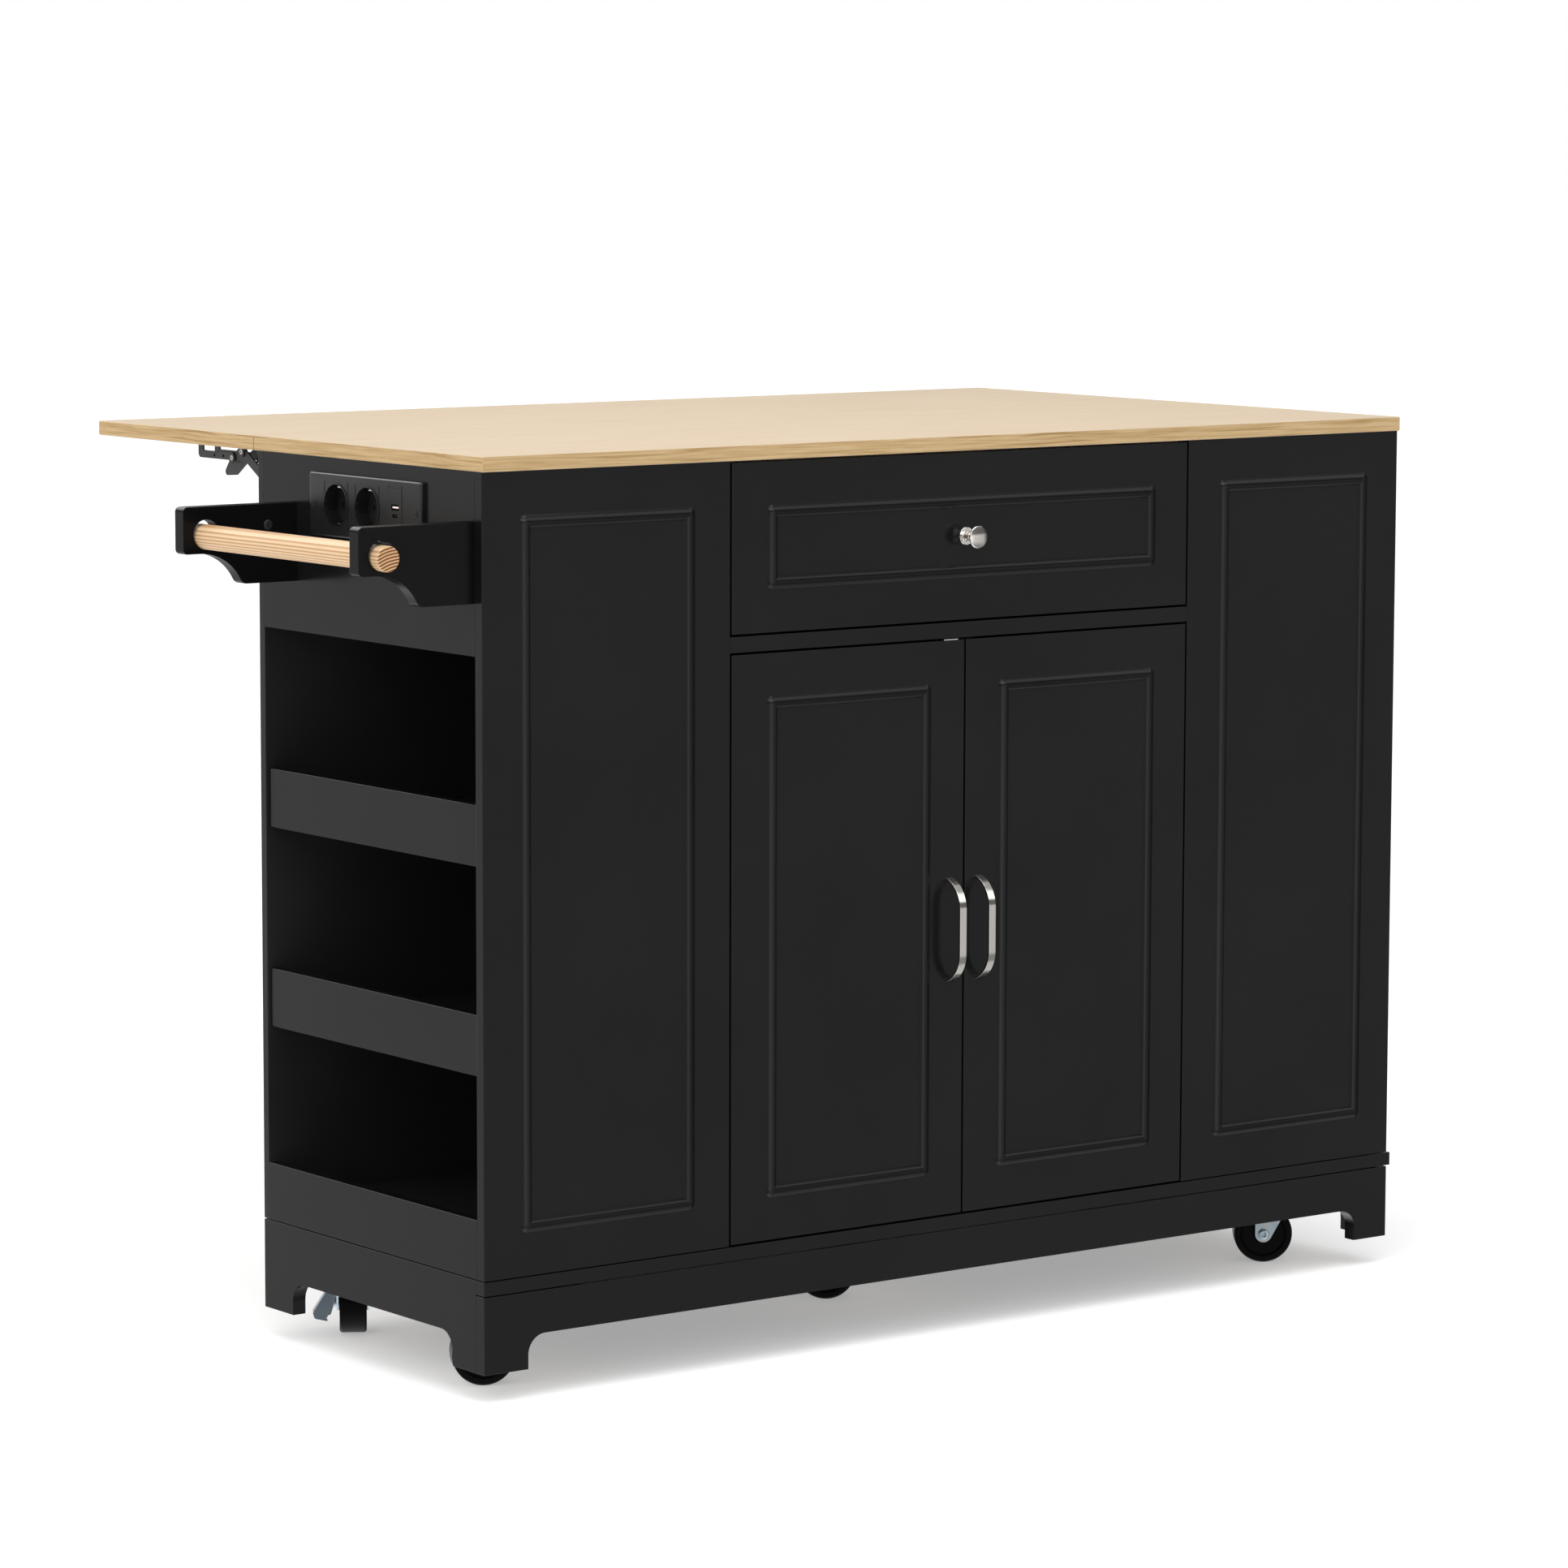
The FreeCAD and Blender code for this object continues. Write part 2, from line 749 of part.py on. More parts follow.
def towel_plate(y0):
    """A bracket plate with a square head, a coved underside and a round hole for the rod."""
    head_bottom = towel_top - towel_head_height
    root_bottom = towel_top - towel_root_height
    cove = Vector(towel_head_length - towel_reach, head_bottom - towel_cove_radius, 0)
    far = towel_cove_radius + towel_root_rounding
    rise = root_bottom + towel_root_rounding - cove.y
    nose = Vector(cove.x + math.sqrt(far ** 2 - rise ** 2), root_bottom + towel_root_rounding, 0)
    meet = cove + (nose - cove).normalize() * towel_cove_radius
    cove_end = math.atan2(nose.y - cove.y, nose.x - cove.x)
    cove_turn = (math.pi / 2 + cove_end) / 2
    cove_middle = cove + Vector(math.cos(cove_turn), math.sin(cove_turn), 0) * towel_cove_radius
    nose_turn = (cove_end + math.pi + 3 * math.pi / 2) / 2
    nose_middle = nose + Vector(math.cos(nose_turn), math.sin(nose_turn), 0) * towel_root_rounding
    cove_start = Vector(cove.x, head_bottom, 0)
    nose_end = Vector(nose.x, root_bottom, 0)
    r = towel_corner_rounding
    softness = r * math.sqrt(0.5)
    left = -towel_reach
    edges = [
        Part.makeLine(Vector(0, towel_top, 0), Vector(left + r, towel_top, 0)),
        Part.Arc(Vector(left + r, towel_top, 0),
                 Vector(left + r - softness, towel_top - r + softness, 0),
                 Vector(left, towel_top - r, 0)).toShape(),
        Part.makeLine(Vector(left, towel_top - r, 0), Vector(left, head_bottom + r, 0)),
        Part.Arc(Vector(left, head_bottom + r, 0),
                 Vector(left + r - softness, head_bottom + r - softness, 0),
                 Vector(left + r, head_bottom, 0)).toShape(),
        Part.makeLine(Vector(left + r, head_bottom, 0), cove_start),
        Part.Arc(cove_start, cove_middle, meet).toShape(),
        Part.Arc(meet, nose_middle, nose_end).toShape(),
        Part.makeLine(nose_end, Vector(0, root_bottom, 0)),
        Part.makeLine(Vector(0, root_bottom, 0), Vector(0, towel_top, 0)),
    ]
    plate = standing_xz(Part.Face(Part.Wire(edges)), y0, y0 + towel_plate_thickness)
    plate = plate.makeFillet(edge_easing, [edge for edge in plate.Edges if crosses_plate(edge)])
    hole = rod(Vector(towel_hole_x, y0 - cut_overrun, towel_hole_z),
               Vector(towel_hole_x, y0 + towel_plate_thickness + cut_overrun, towel_hole_z),
               towel_hole_radius)
    return plate.cut(hole)


def crosses_plate(edge):
    """True for the outline edges of a bracket plate away from the panel that it is fixed to."""
    bounds = edge.BoundBox
    return bounds.YLength < towel_plate_thickness / 2 and bounds.XMin < -edge_easing


def towel_rod():
    bar = rod(Vector(towel_hole_x, rod_front, rod_z), Vector(towel_hole_x, rod_back, rod_z),
              rod_radius)
    rims = [edge for edge in bar.Edges if edge.BoundBox.YLength < rod_rounding]
    return bar.makeFillet(rod_rounding, rims)


# Power strip

def socket_well(y, extra):
    """The round space in the strip that a socket insert fills, with a margin round it."""
    radius = socket_radius + socket_wall + extra
    depth = socket_depth - outlet_proud + socket_floor + extra
    return rod(Vector(-outlet_proud - cut_overrun, y, outlet_middle_z),
               Vector(depth, y, outlet_middle_z), radius)


def usb_block(extra):
    """The block with the two charging ports, with a margin round it."""
    return box(-outlet_proud - (cut_overrun if extra else usb_proud), usb_depth + extra,
               outlet_setback + usb_offset - extra,
               outlet_setback + usb_offset + usb_width + extra,
               outlet_middle_z - usb_height / 2 - extra, outlet_middle_z + usb_height / 2 + extra)


def outlet_screw_places():
    return (outlet_setback + outlet_screw_inset, outlet_back - outlet_screw_inset)


def outlet_strip():
    face = box(-outlet_proud, 0, outlet_setback, outlet_back, outlet_bottom, outlet_top)
    rims = [edge for edge in face.Edges if edge.BoundBox.XMin < -outlet_proud / 2]
    strip = joined([face.makeFillet(outlet_rounding, rims), outlet_housing(0)])
    for y in socket_places:
        strip = strip.cut(socket_well(y, socket_fit))
    strip = strip.cut(usb_block(socket_fit))
    for y in outlet_screw_places():
        strip = strip.cut(rod(Vector(-outlet_proud - cut_overrun, y, outlet_middle_z),
                              Vector(outlet_screw_length, y, outlet_middle_z),
                              outlet_screw_radius + socket_fit))
    return strip


def socket_insert(y):
    """A round cup with a raised rim and two holes for the plug's pins."""
    floor_x = socket_depth - outlet_proud
    outer = socket_radius + socket_wall
    face_x = -outlet_proud
    cup = rod(Vector(face_x, y, outlet_middle_z),
              Vector(floor_x + socket_floor, y, outlet_middle_z), outer)
    rim = rod(Vector(face_x - socket_rim_proud, y, outlet_middle_z),
              Vector(face_x, y, outlet_middle_z), outer + socket_rim_width)
    hollow = rod(Vector(face_x - socket_rim_proud - cut_overrun, y, outlet_middle_z),
                 Vector(floor_x, y, outlet_middle_z), socket_radius)
    insert = joined([cup, rim]).cut(hollow)
    for side in (-1, 1):
        centre_y = y + side * pin_hole_spacing / 2
        insert = insert.cut(rod(Vector(floor_x - cut_overrun, centre_y, outlet_middle_z),
                                Vector(floor_x + socket_floor + cut_overrun, centre_y,
                                       outlet_middle_z), pin_hole_radius))
    return insert


def usb_port_block(size, rise, front_x):
    """A block across a charging port's place, from a depth to the bottom of the port."""
    width, height = size
    y = outlet_setback + usb_offset + usb_width / 2
    z = outlet_middle_z + rise
    back_x = usb_slot_depth - outlet_proud - usb_proud
    return box(front_x, back_x, y - width / 2, y + width / 2, z - height / 2, z + height / 2)


def usb_insert():
    """The block with its two charging ports, each with the tongue inside it."""
    block = usb_block(0)
    face_x = -outlet_proud - usb_proud
    for size, tongue, rise in ((usb_a_size, usb_a_tongue, usb_a_rise),
                               (usb_c_size, usb_c_tongue, usb_c_rise)):
        block = block.cut(usb_port_block(size, rise, face_x - cut_overrun))
        block = joined([block, usb_port_block(tongue, rise, face_x + usb_tongue_setback)])
    return block


def earth_clips(y):
    """The two sprung strips at the top and bottom of a socket."""
    end_x = socket_depth - outlet_proud
    clips = []
    for side in (-1, 1):
        outer_z = outlet_middle_z + side * (socket_radius - earth_clip_inset)
        inner_z = outer_z - side * earth_clip_thickness
        clips.append(box(end_x - earth_clip_length, end_x, y - earth_clip_width / 2,
                         y + earth_clip_width / 2, min(outer_z, inner_z), max(outer_z, inner_z)))
    return clips


def outlet_screw(y):
    head_x = -outlet_proud - outlet_screw_proud
    screw = rod(Vector(head_x, y, outlet_middle_z),
                Vector(outlet_screw_length, y, outlet_middle_z), outlet_screw_radius)
    for width, height in ((outlet_screw_slot, outlet_screw_radius),
                          (outlet_screw_radius, outlet_screw_slot)):
        screw = screw.cut(box(head_x - cut_overrun, head_x + outlet_screw_slot,
                              y - width / 2, y + width / 2,
                              outlet_middle_z - height / 2, outlet_middle_z + height / 2))
    return screw


def outlet_contacts():
    clips = [clip for y in socket_places for clip in earth_clips(y)]
    return clips + [outlet_screw(y) for y in outlet_screw_places()]


# Drawer

def drawer_front():
    return moulded_front(fronts_left, fronts_right, drawer_front_bottom, drawer_front_top,
                         front_thickness)


def drawer_sides():
    """The two sides and the back of the drawer box."""
    left = box(drawer_left, drawer_left + drawer_side_thickness, front_thickness, drawer_back,
               drawer_side_bottom, drawer_side_top)
    right = box(drawer_right - drawer_side_thickness, drawer_right, front_thickness, drawer_back,
                drawer_side_bottom, drawer_side_top)
    back = box(drawer_left + drawer_side_thickness, drawer_right - drawer_side_thickness,
               drawer_back - drawer_side_thickness, drawer_back,
               drawer_side_bottom, drawer_side_top)
    return [left, right, back]


def drawer_bottom():
    return box(drawer_left + drawer_side_thickness, drawer_right - drawer_side_thickness,
               front_thickness, drawer_back - drawer_side_thickness,
               drawer_floor, drawer_floor + drawer_bottom_thickness)


def knob_profile():
    """The knob's half section as (radius, distance out from the drawer front, rounding)."""
    waist = (rosette_thickness + knob_head_start) / 2
    return [(0, 0, 0), (rosette_radius, 0, 0), (rosette_radius, rosette_thickness, 0),
            (knob_neck_radius, rosette_thickness, 0), (knob_neck_radius, waist, knob_rounding),
            (knob_head_radius, knob_widest, knob_rounding),
            (knob_head_radius - knob_rounding, knob_projection, knob_rounding),
            (0, knob_projection, 0)]


def drawer_knob():
    knob = rounded_face(knob_profile()).revolve(Vector(0, 0, 0), Vector(0, 1, 0), 360)
    knob.rotate(Vector(0, 0, 0), Vector(1, 0, 0), 180)
    knob.translate(Vector(body_middle, 0, drawer_front_top - knob_drop))
    return knob


def slide_channel(web, lip_start, lip_end, half_height):
    """A bent sheet section as (distance from the wall, height), with its web and two lips."""
    z = slide_z
    pieces = [box(web, web + slide_sheet, slide_front, slide_front + slide_length,
                  z - half_height, z + half_height)]
    for side in (-1, 1):
        outer = z + side * half_height
        inner = outer - side * slide_sheet
        pieces.append(box(lip_start, lip_end, slide_front, slide_front + slide_length,
                          min(outer, inner), max(outer, inner)))
    return joined(pieces)


def ball_rows():
    """The rows of balls between the sections, drawn as strips."""
    web = slide_middle_offset + slide_sheet
    rows = []
    for low, high in ((slide_middle_half_height, slide_outer_half_height - slide_sheet),
                      (slide_inner_half_height, slide_middle_half_height - slide_sheet)):
        outwards = low == slide_middle_half_height
        near = low if outwards else low + slide_play
        far = high - slide_play if outwards else high
        for side in (-1, 1):
            z0, z1 = slide_z + side * near, slide_z + side * far
            rows.append(box(web + slide_sheet, slide_outer_lip - slide_sheet / 2, slide_front,
                            slide_front + slide_length, min(z0, z1), max(z0, z1)))
    return rows


def on_both_sides(shape):
    """The runner on the left wall, and the same one mirrored to the right wall."""
    left = shape.copy()
    left.translate(Vector(front_panel_width, 0, 0))
    right = left.mirror(Vector(body_middle, 0, 0), Vector(1, 0, 0))
    return [left, right]


def slide_outers():
    return on_both_sides(slide_channel(0, 0, slide_outer_lip, slide_outer_half_height))


def slide_middles():
    section = slide_channel(slide_middle_offset, slide_middle_offset, slide_middle_lip,
                            slide_middle_half_height)
    return on_both_sides(joined([section] + ball_rows()))


def slide_inners():
    return on_both_sides(slide_channel(slide_space - slide_sheet, slide_inner_offset, slide_space,
                                       slide_inner_half_height))


# Doors

def mirrored(shape):
    """The same shape on the other side of the island's middle."""
    return shape.mirror(Vector(body_middle, 0, 0), Vector(1, 0, 0))


def cup_x():
    return fronts_left + cup_edge_inset


def left_door():
    door = moulded_front(fronts_left, left_door_right, door_bottom, door_top, front_thickness)
    for z in hinge_levels:
        door = door.cut(rod(Vector(cup_x(), front_thickness - cup_depth, z),
                            Vector(cup_x(), front_thickness + cut_overrun, z), cup_radius))
    return door


def hinge_cup(z):
    """A hinge cup with its screwed wing, seated in the bore of the door."""
    bottom = front_thickness - cup_depth
    outer = rod(Vector(cup_x(), bottom, z), Vector(cup_x(), front_thickness, z),
                cup_radius - cup_play)
    wing = box(cup_x() - cup_wing_width / 2, cup_x() + cup_wing_width / 2, front_thickness,
               front_thickness + cup_wing_thickness, z - cup_wing_length / 2,
               z + cup_wing_length / 2)
    hollow = rod(Vector(cup_x(), bottom + cup_wall, z),
                 Vector(cup_x(), front_thickness + cup_wing_thickness + cut_overrun, z),
                 cup_radius - cup_play - cup_wall)
    screws = []
    for side in (-1, 1):
        screw_z = z + side * cup_screw_spacing / 2
        screws.append(rod(Vector(cup_x(), front_thickness, screw_z),
                          Vector(cup_x(), front_thickness + cup_wing_thickness + cup_screw_proud,
                                 screw_z), cup_screw_radius))
    return joined([joined([outer, wing]).cut(hollow)] + screws)


def strike(x0):
    """A flat strike plate on the back of a door."""
    return box(x0, x0 + strike_width, front_thickness, front_thickness + strike_thickness,
               door_top - strike_height, door_top)


def left_door_fittings():
    """The left door's hinge cups and its strike, whose lip goes over the top of the door."""
    x0 = left_door_right - strike_inset - strike_width
    lip = box(x0, x0 + strike_width, strike_lip_setback, front_thickness + strike_thickness,
              door_top, door_top + strike_lip_thickness)
    return [hinge_cup(z) for z in hinge_levels] + [joined([strike(x0), lip])]


def right_door():
    return mirrored(left_door())


def right_door_fittings():
    cups = [mirrored(hinge_cup(z)) for z in hinge_levels]
    return cups + [strike(right_door_left + strike_inset)]


def hinge_arm(z):
    """The fixed half of a hinge: a plate on the partition, an arm and the tongue at the cup."""
    face = front_panel_width
    arm_x = face + hinge_plate_thickness
    plate = box(face, arm_x, hinge_plate_setback, hinge_plate_setback + hinge_plate_length,
                z - hinge_plate_height / 2, z + hinge_plate_height / 2)
    arm = box(arm_x, arm_x + hinge_arm_thickness, inner_front,
              hinge_plate_setback + hinge_plate_length,
              z - hinge_arm_height / 2, z + hinge_arm_height / 2)
    tongue = box(arm_x, arm_x + hinge_tongue_reach, inner_front,
                 inner_front + hinge_tongue_thickness,
                 z - hinge_arm_height / 2, z + hinge_arm_height / 2)
    return joined([plate, arm, tongue])


def hinge_arms():
    left = [hinge_arm(z) for z in hinge_levels]
    return left + [mirrored(arm) for arm in left]


def magnetic_catch():
    near = front_thickness + strike_thickness + strike_gap
    return box(body_middle - catch_length / 2, body_middle + catch_length / 2, near,
               near + catch_depth, divider_bottom - catch_height, divider_bottom)


def bend_points(centre, radius, side, degrees):
    """Start, middle and end of a bend, from the pull's grip round to the door."""
    points = []
    for turn in (0, degrees / 2, degrees):
        angle = math.radians(turn)
        points.append(centre + Vector(-math.cos(angle), side * math.sin(angle), 0) * radius)
    return points


def pull_face(low, high):
    """The strap's side view as (depth, height): a grip whose two ends sweep round to the door."""
    inner_radius = pull_bend_radius - pull_thickness
    middle_y = pull_bend_radius - pull_projection
    outer_turn = math.degrees(math.acos(middle_y / pull_bend_radius))
    inner_turn = math.degrees(math.acos(middle_y / inner_radius))
    rise = pull_bend_radius * math.sin(math.radians(outer_turn))
    top = Vector(middle_y, high - rise, 0)
    foot = Vector(middle_y, low + rise, 0)
    over, over_middle, over_end = bend_points(top, pull_bend_radius, 1, outer_turn)
    under, under_middle, under_end = bend_points(foot, pull_bend_radius, -1, outer_turn)
    inside, inside_middle, inside_end = bend_points(top, inner_radius, 1, inner_turn)
    below, below_middle, below_end = bend_points(foot, inner_radius, -1, inner_turn)
    edges = [Part.Arc(under_end, under_middle, under).toShape(), Part.makeLine(under, over),
             Part.Arc(over, over_middle, over_end).toShape(), Part.makeLine(over_end, inside_end),
             Part.Arc(inside_end, inside_middle, inside).toShape(), Part.makeLine(inside, below),
             Part.Arc(below, below_middle, below_end).toShape(), Part.makeLine(below_end, under_end)]
    return Part.Face(Part.Wire(edges))


def pull(x):
    """A flat strap bent into a handle, standing upright on a door."""
    high = door_top - pull_drop
    strap = standing_yz(pull_face(high - pull_height, high), x - pull_width / 2, x + pull_width / 2)
    outer = [edge for edge in strap.Edges if on_pull_outside(edge)]
    return strap.makeChamfer(pull_chamfer, outer)


def on_pull_outside(edge):
    """True for the long edges along the outside of the strap."""
    bounds = edge.BoundBox
    return bounds.XLength < pull_chamfer and bounds.YMin < pull_thickness / 2 - pull_projection


# Casters

def at_caster(shape, name):
    """A piece drawn with its swivel at zero and its trail along X, carried to a caster's place."""
    x, y, angle = casters[name]
    return turned(shape, angle, Vector(x, y, 0))


def caster_plate(x, y):
    """The fixed plate with its screws, the swivel's boss and the kingpin."""
    boss_bottom = swivel_head_top + swivel_play
    head_top = crown_bottom - swivel_play
    low = caster_plate_bottom
    plate = box(-caster_plate_length / 2, caster_plate_length / 2, -caster_plate_width / 2,
                caster_plate_width / 2, low, caster_block_bottom)
    pieces = [plate,
              rod(Vector(0, 0, boss_bottom), Vector(0, 0, low), swivel_boss_radius),
              rod(Vector(0, 0, head_top), Vector(0, 0, low), kingpin_radius),
              rod(Vector(0, 0, head_top - kingpin_head_height), Vector(0, 0, head_top),
                  kingpin_head_radius)]
    for side_x in (-1, 1):
        for side_y in (-1, 1):
            sx = side_x * (caster_plate_length / 2 - caster_screw_inset)
            sy = side_y * (caster_plate_width / 2 - caster_screw_inset)
            pieces.append(rod(Vector(sx, sy, low - caster_screw_height), Vector(sx, sy, low),
                              caster_screw_radius))
    whole = joined(pieces)
    whole.translate(Vector(x, y, 0))
    return whole


def fork_leg():
    """One cheek of the fork, drawn as (along the trail, height) and rounded about the axle."""
    axle = Vector(caster_trail, wheel_radius, 0)
    top_front = Vector(-fork_lead, crown_top, 0)
    to_axle = axle - top_front
    swing = math.asin(fork_end_radius / to_axle.Length)
    heading = math.atan2(to_axle.y, to_axle.x) - swing
    run = math.sqrt(to_axle.Length ** 2 - fork_end_radius ** 2)
    touch = top_front + Vector(math.cos(heading), math.sin(heading), 0) * run
    top_back = Vector(fork_back, crown_top, 0)
    side = Vector(fork_back, wheel_radius, 0)
    low = axle - Vector(0, fork_end_radius, 0)
    edges = [Part.makeLine(top_front, top_back), Part.makeLine(top_back, side),
             Part.Arc(side, low, touch).toShape(), Part.makeLine(touch, top_front)]
    return Part.Face(Part.Wire(edges))


def fork():
    """A pressed fork with its swivel head and the axle riveted through it."""
    face = fork_leg()
    head_reach = fork_outer_half + axle_head_thickness
    pieces = [
        standing_xz(face, fork_inner_half, fork_outer_half),
        standing_xz(face, -fork_outer_half, -fork_inner_half),
        box(-fork_lead, fork_back, -fork_outer_half, fork_outer_half, crown_bottom, crown_top),
        rod(Vector(0, 0, crown_top), Vector(0, 0, swivel_head_top), swivel_head_radius),
        rod(Vector(caster_trail, -head_reach, wheel_radius),
            Vector(caster_trail, head_reach, wheel_radius), axle_radius),
        rod(Vector(caster_trail, fork_outer_half, wheel_radius),
            Vector(caster_trail, head_reach, wheel_radius), axle_head_radius),
        rod(Vector(caster_trail, -head_reach, wheel_radius),
            Vector(caster_trail, -fork_outer_half, wheel_radius), axle_head_radius),
    ]
    bore = rod(Vector(0, 0, crown_bottom - cut_overrun), Vector(0, 0, swivel_head_top + cut_overrun),
               kingpin_radius + kingpin_play)
    return joined(pieces).cut(bore)


def brake_fork():
    """The fork with the lug that the brake pedal is pinned to."""
    lug = joined([
        rod(Vector(-pedal_lug_half_width, pedal_pin_b, pedal_pin_z),
            Vector(pedal_lug_half_width, pedal_pin_b, pedal_pin_z), pedal_lug_radius),
        box(-pedal_lug_half_width, pedal_lug_half_width, fork_outer_half, pedal_pin_b,
            pedal_pin_z - pedal_lug_radius, pedal_pin_z + pedal_lug_radius)])
    bore = rod(Vector(-pedal_lug_half_width - cut_overrun, pedal_pin_b, pedal_pin_z),
               Vector(pedal_lug_half_width + cut_overrun, pedal_pin_b, pedal_pin_z),
               pedal_pin_radius + pedal_pin_play)
    return joined([fork(), lug]).cut(bore)


# The pedal's outline, as shares of its reach outwards and its height, from the outer face of the fork.
# The last value is the corner's rounding as a share of the pedal's height.
pedal_outline_shares = [
    (0.06, 0.93, 0.06), (0.52, 1.00, 0.03), (1.16, 0.30, 0.10), (1.07, 0.10, 0.10),
    (0.37, 0.00, 0.03), (0.55, 0.16, 0.05), (0.27, 0.25, 0.03), (0.06, 0.74, 0.06),
]


def pedal_point(share):
    """A point of the pedal's outline as (outwards, height, rounding)."""
    out, up, rounding = share
    bottom = pedal_pin_z + pedal_lug_radius - pedal_height
    return (fork_outer_half + out * pedal_reach, bottom + up * pedal_height,
            rounding * pedal_height)


def brake_pedal():
    """Two cheeks with a sloping tread between them, on a pin."""
    face = rounded_face([pedal_point(share) for share in pedal_outline_shares])
    cheeks = [standing_yz(face, pedal_half_width - pedal_sheet, pedal_half_width),
              standing_yz(face, -pedal_half_width, pedal_sheet - pedal_half_width)]
    top = Vector(*pedal_point(pedal_outline_shares[1])[:2], 0)
    low = Vector(*pedal_point(pedal_outline_shares[2])[:2], 0)
    down = (low - top).normalize()
    inwards = Vector(down.y, -down.x, 0) * pedal_sheet
    start, end = top + down * pedal_sheet, low - down * pedal_sheet
    tread = Part.Face(Part.makePolygon([start, end, end + inwards, start + inwards, start]))
    pin = rod(Vector(-pedal_half_width, pedal_pin_b, pedal_pin_z),
              Vector(pedal_half_width, pedal_pin_b, pedal_pin_z), pedal_pin_radius)
    return joined(cheeks + [standing_yz(tread, -pedal_half_width, pedal_half_width), pin])


def wheel():
    """A wheel with rounded shoulders, recessed sides and a hub between the fork's cheeks."""
    half = wheel_width / 2
    hub_half = fork_inner_half - wheel_side_play
    web_half = half - wheel_recess
    bore = axle_radius + axle_play
    right = [(bore, hub_half, 0), (wheel_hub_radius, hub_half, 0),
             (wheel_hub_radius + wheel_recess, web_half, 0),
             (wheel_rim_radius - wheel_recess, web_half, 0), (wheel_rim_radius, half, 0),
             (wheel_radius, half, wheel_shoulder)]
    left = [(radius, -y, rounding) for radius, y, rounding in reversed(right)]
    disc = rounded_face(right + left).revolve(Vector(0, 0, 0), Vector(0, 1, 0), 360)
    disc.translate(Vector(caster_trail, 0, wheel_radius))
    return disc


# Folding brackets of the drop leaf

def bracket_y(out):
    return body_depth + out


def rivet(x0, x1, y, z, radius):
    return rod(Vector(x0, y, z), Vector(x1, y, z), radius)


def wall_arm(x):
    """The bracket's fixed half: a channel on the back panel with the two pins across it."""
    top = leaf_axis_z + wall_arm_rise
    bottom = strut_foot_z - wall_arm_fall
    ear = leaf_axis_y + wall_arm_ear_radius
    r = wall_arm_ear_radius / 2
    web = box(x - wall_arm_half_width, x + wall_arm_half_width, body_depth,
              body_depth + wall_arm_sheet, bottom, top)
    face = rounded_face([(body_depth, bottom, 0), (body_depth, top, 0), (ear, top, r),
                         (ear, bottom, r)])
    inner = wall_arm_half_width - wall_arm_sheet
    head = wall_arm_half_width + bracket_head_thickness
    pieces = [web, standing_yz(face, x + inner, x + wall_arm_half_width),
              standing_yz(face, x - wall_arm_half_width, x - inner)]
    for z, radius in ((leaf_axis_z, bracket_pin_radius), (strut_foot_z, strut_foot_pin_radius)):
        pieces.append(rivet(x - head, x + head, leaf_axis_y, z, radius))
        pieces.append(rivet(x - head, x - wall_arm_half_width, leaf_axis_y, z, bracket_head_radius))
        pieces.append(rivet(x + wall_arm_half_width, x + head, leaf_axis_y, z, bracket_head_radius))
    return joined(pieces)


def arm_cheek_face():
    """One cheek of the leaf's arm: a low bar, posts up to the leaf and an ear round the hinge pin."""
    top = body_top
    bottom = body_top - arm_depth
    window = body_top - arm_window_drop
    tip = bracket_y(arm_reach)
    window_end = tip - arm_end_post
    ear_low = leaf_axis_z - arm_ear_radius
    ear_back = leaf_axis_y + arm_ear_radius
    ear_front = leaf_axis_y - arm_ear_radius
    return rounded_face([
        (bracket_y(arm_root_start), top, 0), (bracket_y(arm_root_post_end), top, 0),
        (bracket_y(arm_window_start), window, 0), (window_end, window, arm_window_rounding),
        (window_end, top, 0), (tip, top, 0), (tip, bottom, arm_tip_rounding),
        (ear_back + arm_ear_radius, bottom, 0), (ear_back, ear_low, arm_ear_radius / 2),
        (ear_front, ear_low, arm_ear_radius / 2), (ear_front, leaf_axis_z, 0)])


def outer_cheek_cuts(x, side):
    """What is cut out of the outer cheek: the notch that the stay shows in, and two small holes."""
    ends = (x + side * (arm_half_width - arm_sheet), x + side * (arm_half_width + cut_overrun))
    notch = box(min(ends), max(ends), bracket_y(arm_notch_start), bracket_y(arm_notch_end),
                body_top - arm_depth - cut_overrun, body_top - arm_sheet)
    holes = [rivet(min(ends) - cut_overrun, max(ends), bracket_y(out), body_top - arm_hole_drop,
                   arm_hole_radius) for out in arm_hole_places]
    return [notch] + holes


def leaf_arm(x, side):
    """The bracket's moving half under the leaf; the lever's rivet is on its outer cheek."""
    inner = arm_half_width - arm_sheet
    face = arm_cheek_face()
    pieces = [standing_yz(face, x + inner, x + arm_half_width),
              standing_yz(face, x - arm_half_width, x - inner)]
    web = box(x - arm_half_width, x + arm_half_width, bracket_y(arm_root_start),
              bracket_y(arm_reach), body_top - arm_sheet, body_top)
    arm = joined(pieces + [web])
    bore = rivet(x - arm_half_width - cut_overrun, x + arm_half_width + cut_overrun,
                 leaf_axis_y, leaf_axis_z, bracket_pin_radius + bracket_pin_play)
    arm = arm.cut([bore] + outer_cheek_cuts(x, side))
    ends = (x + side * lever_start, x + side * (arm_half_width + bracket_head_thickness))
    y, z = bracket_y(lever_pin_out), body_top - lever_pin_drop
    head = (x + side * arm_half_width, ends[1])
    return joined([arm, rivet(min(ends), max(ends), y, z, lever_pin_radius),
                   rivet(min(head), max(head), y, z, bracket_head_radius)])


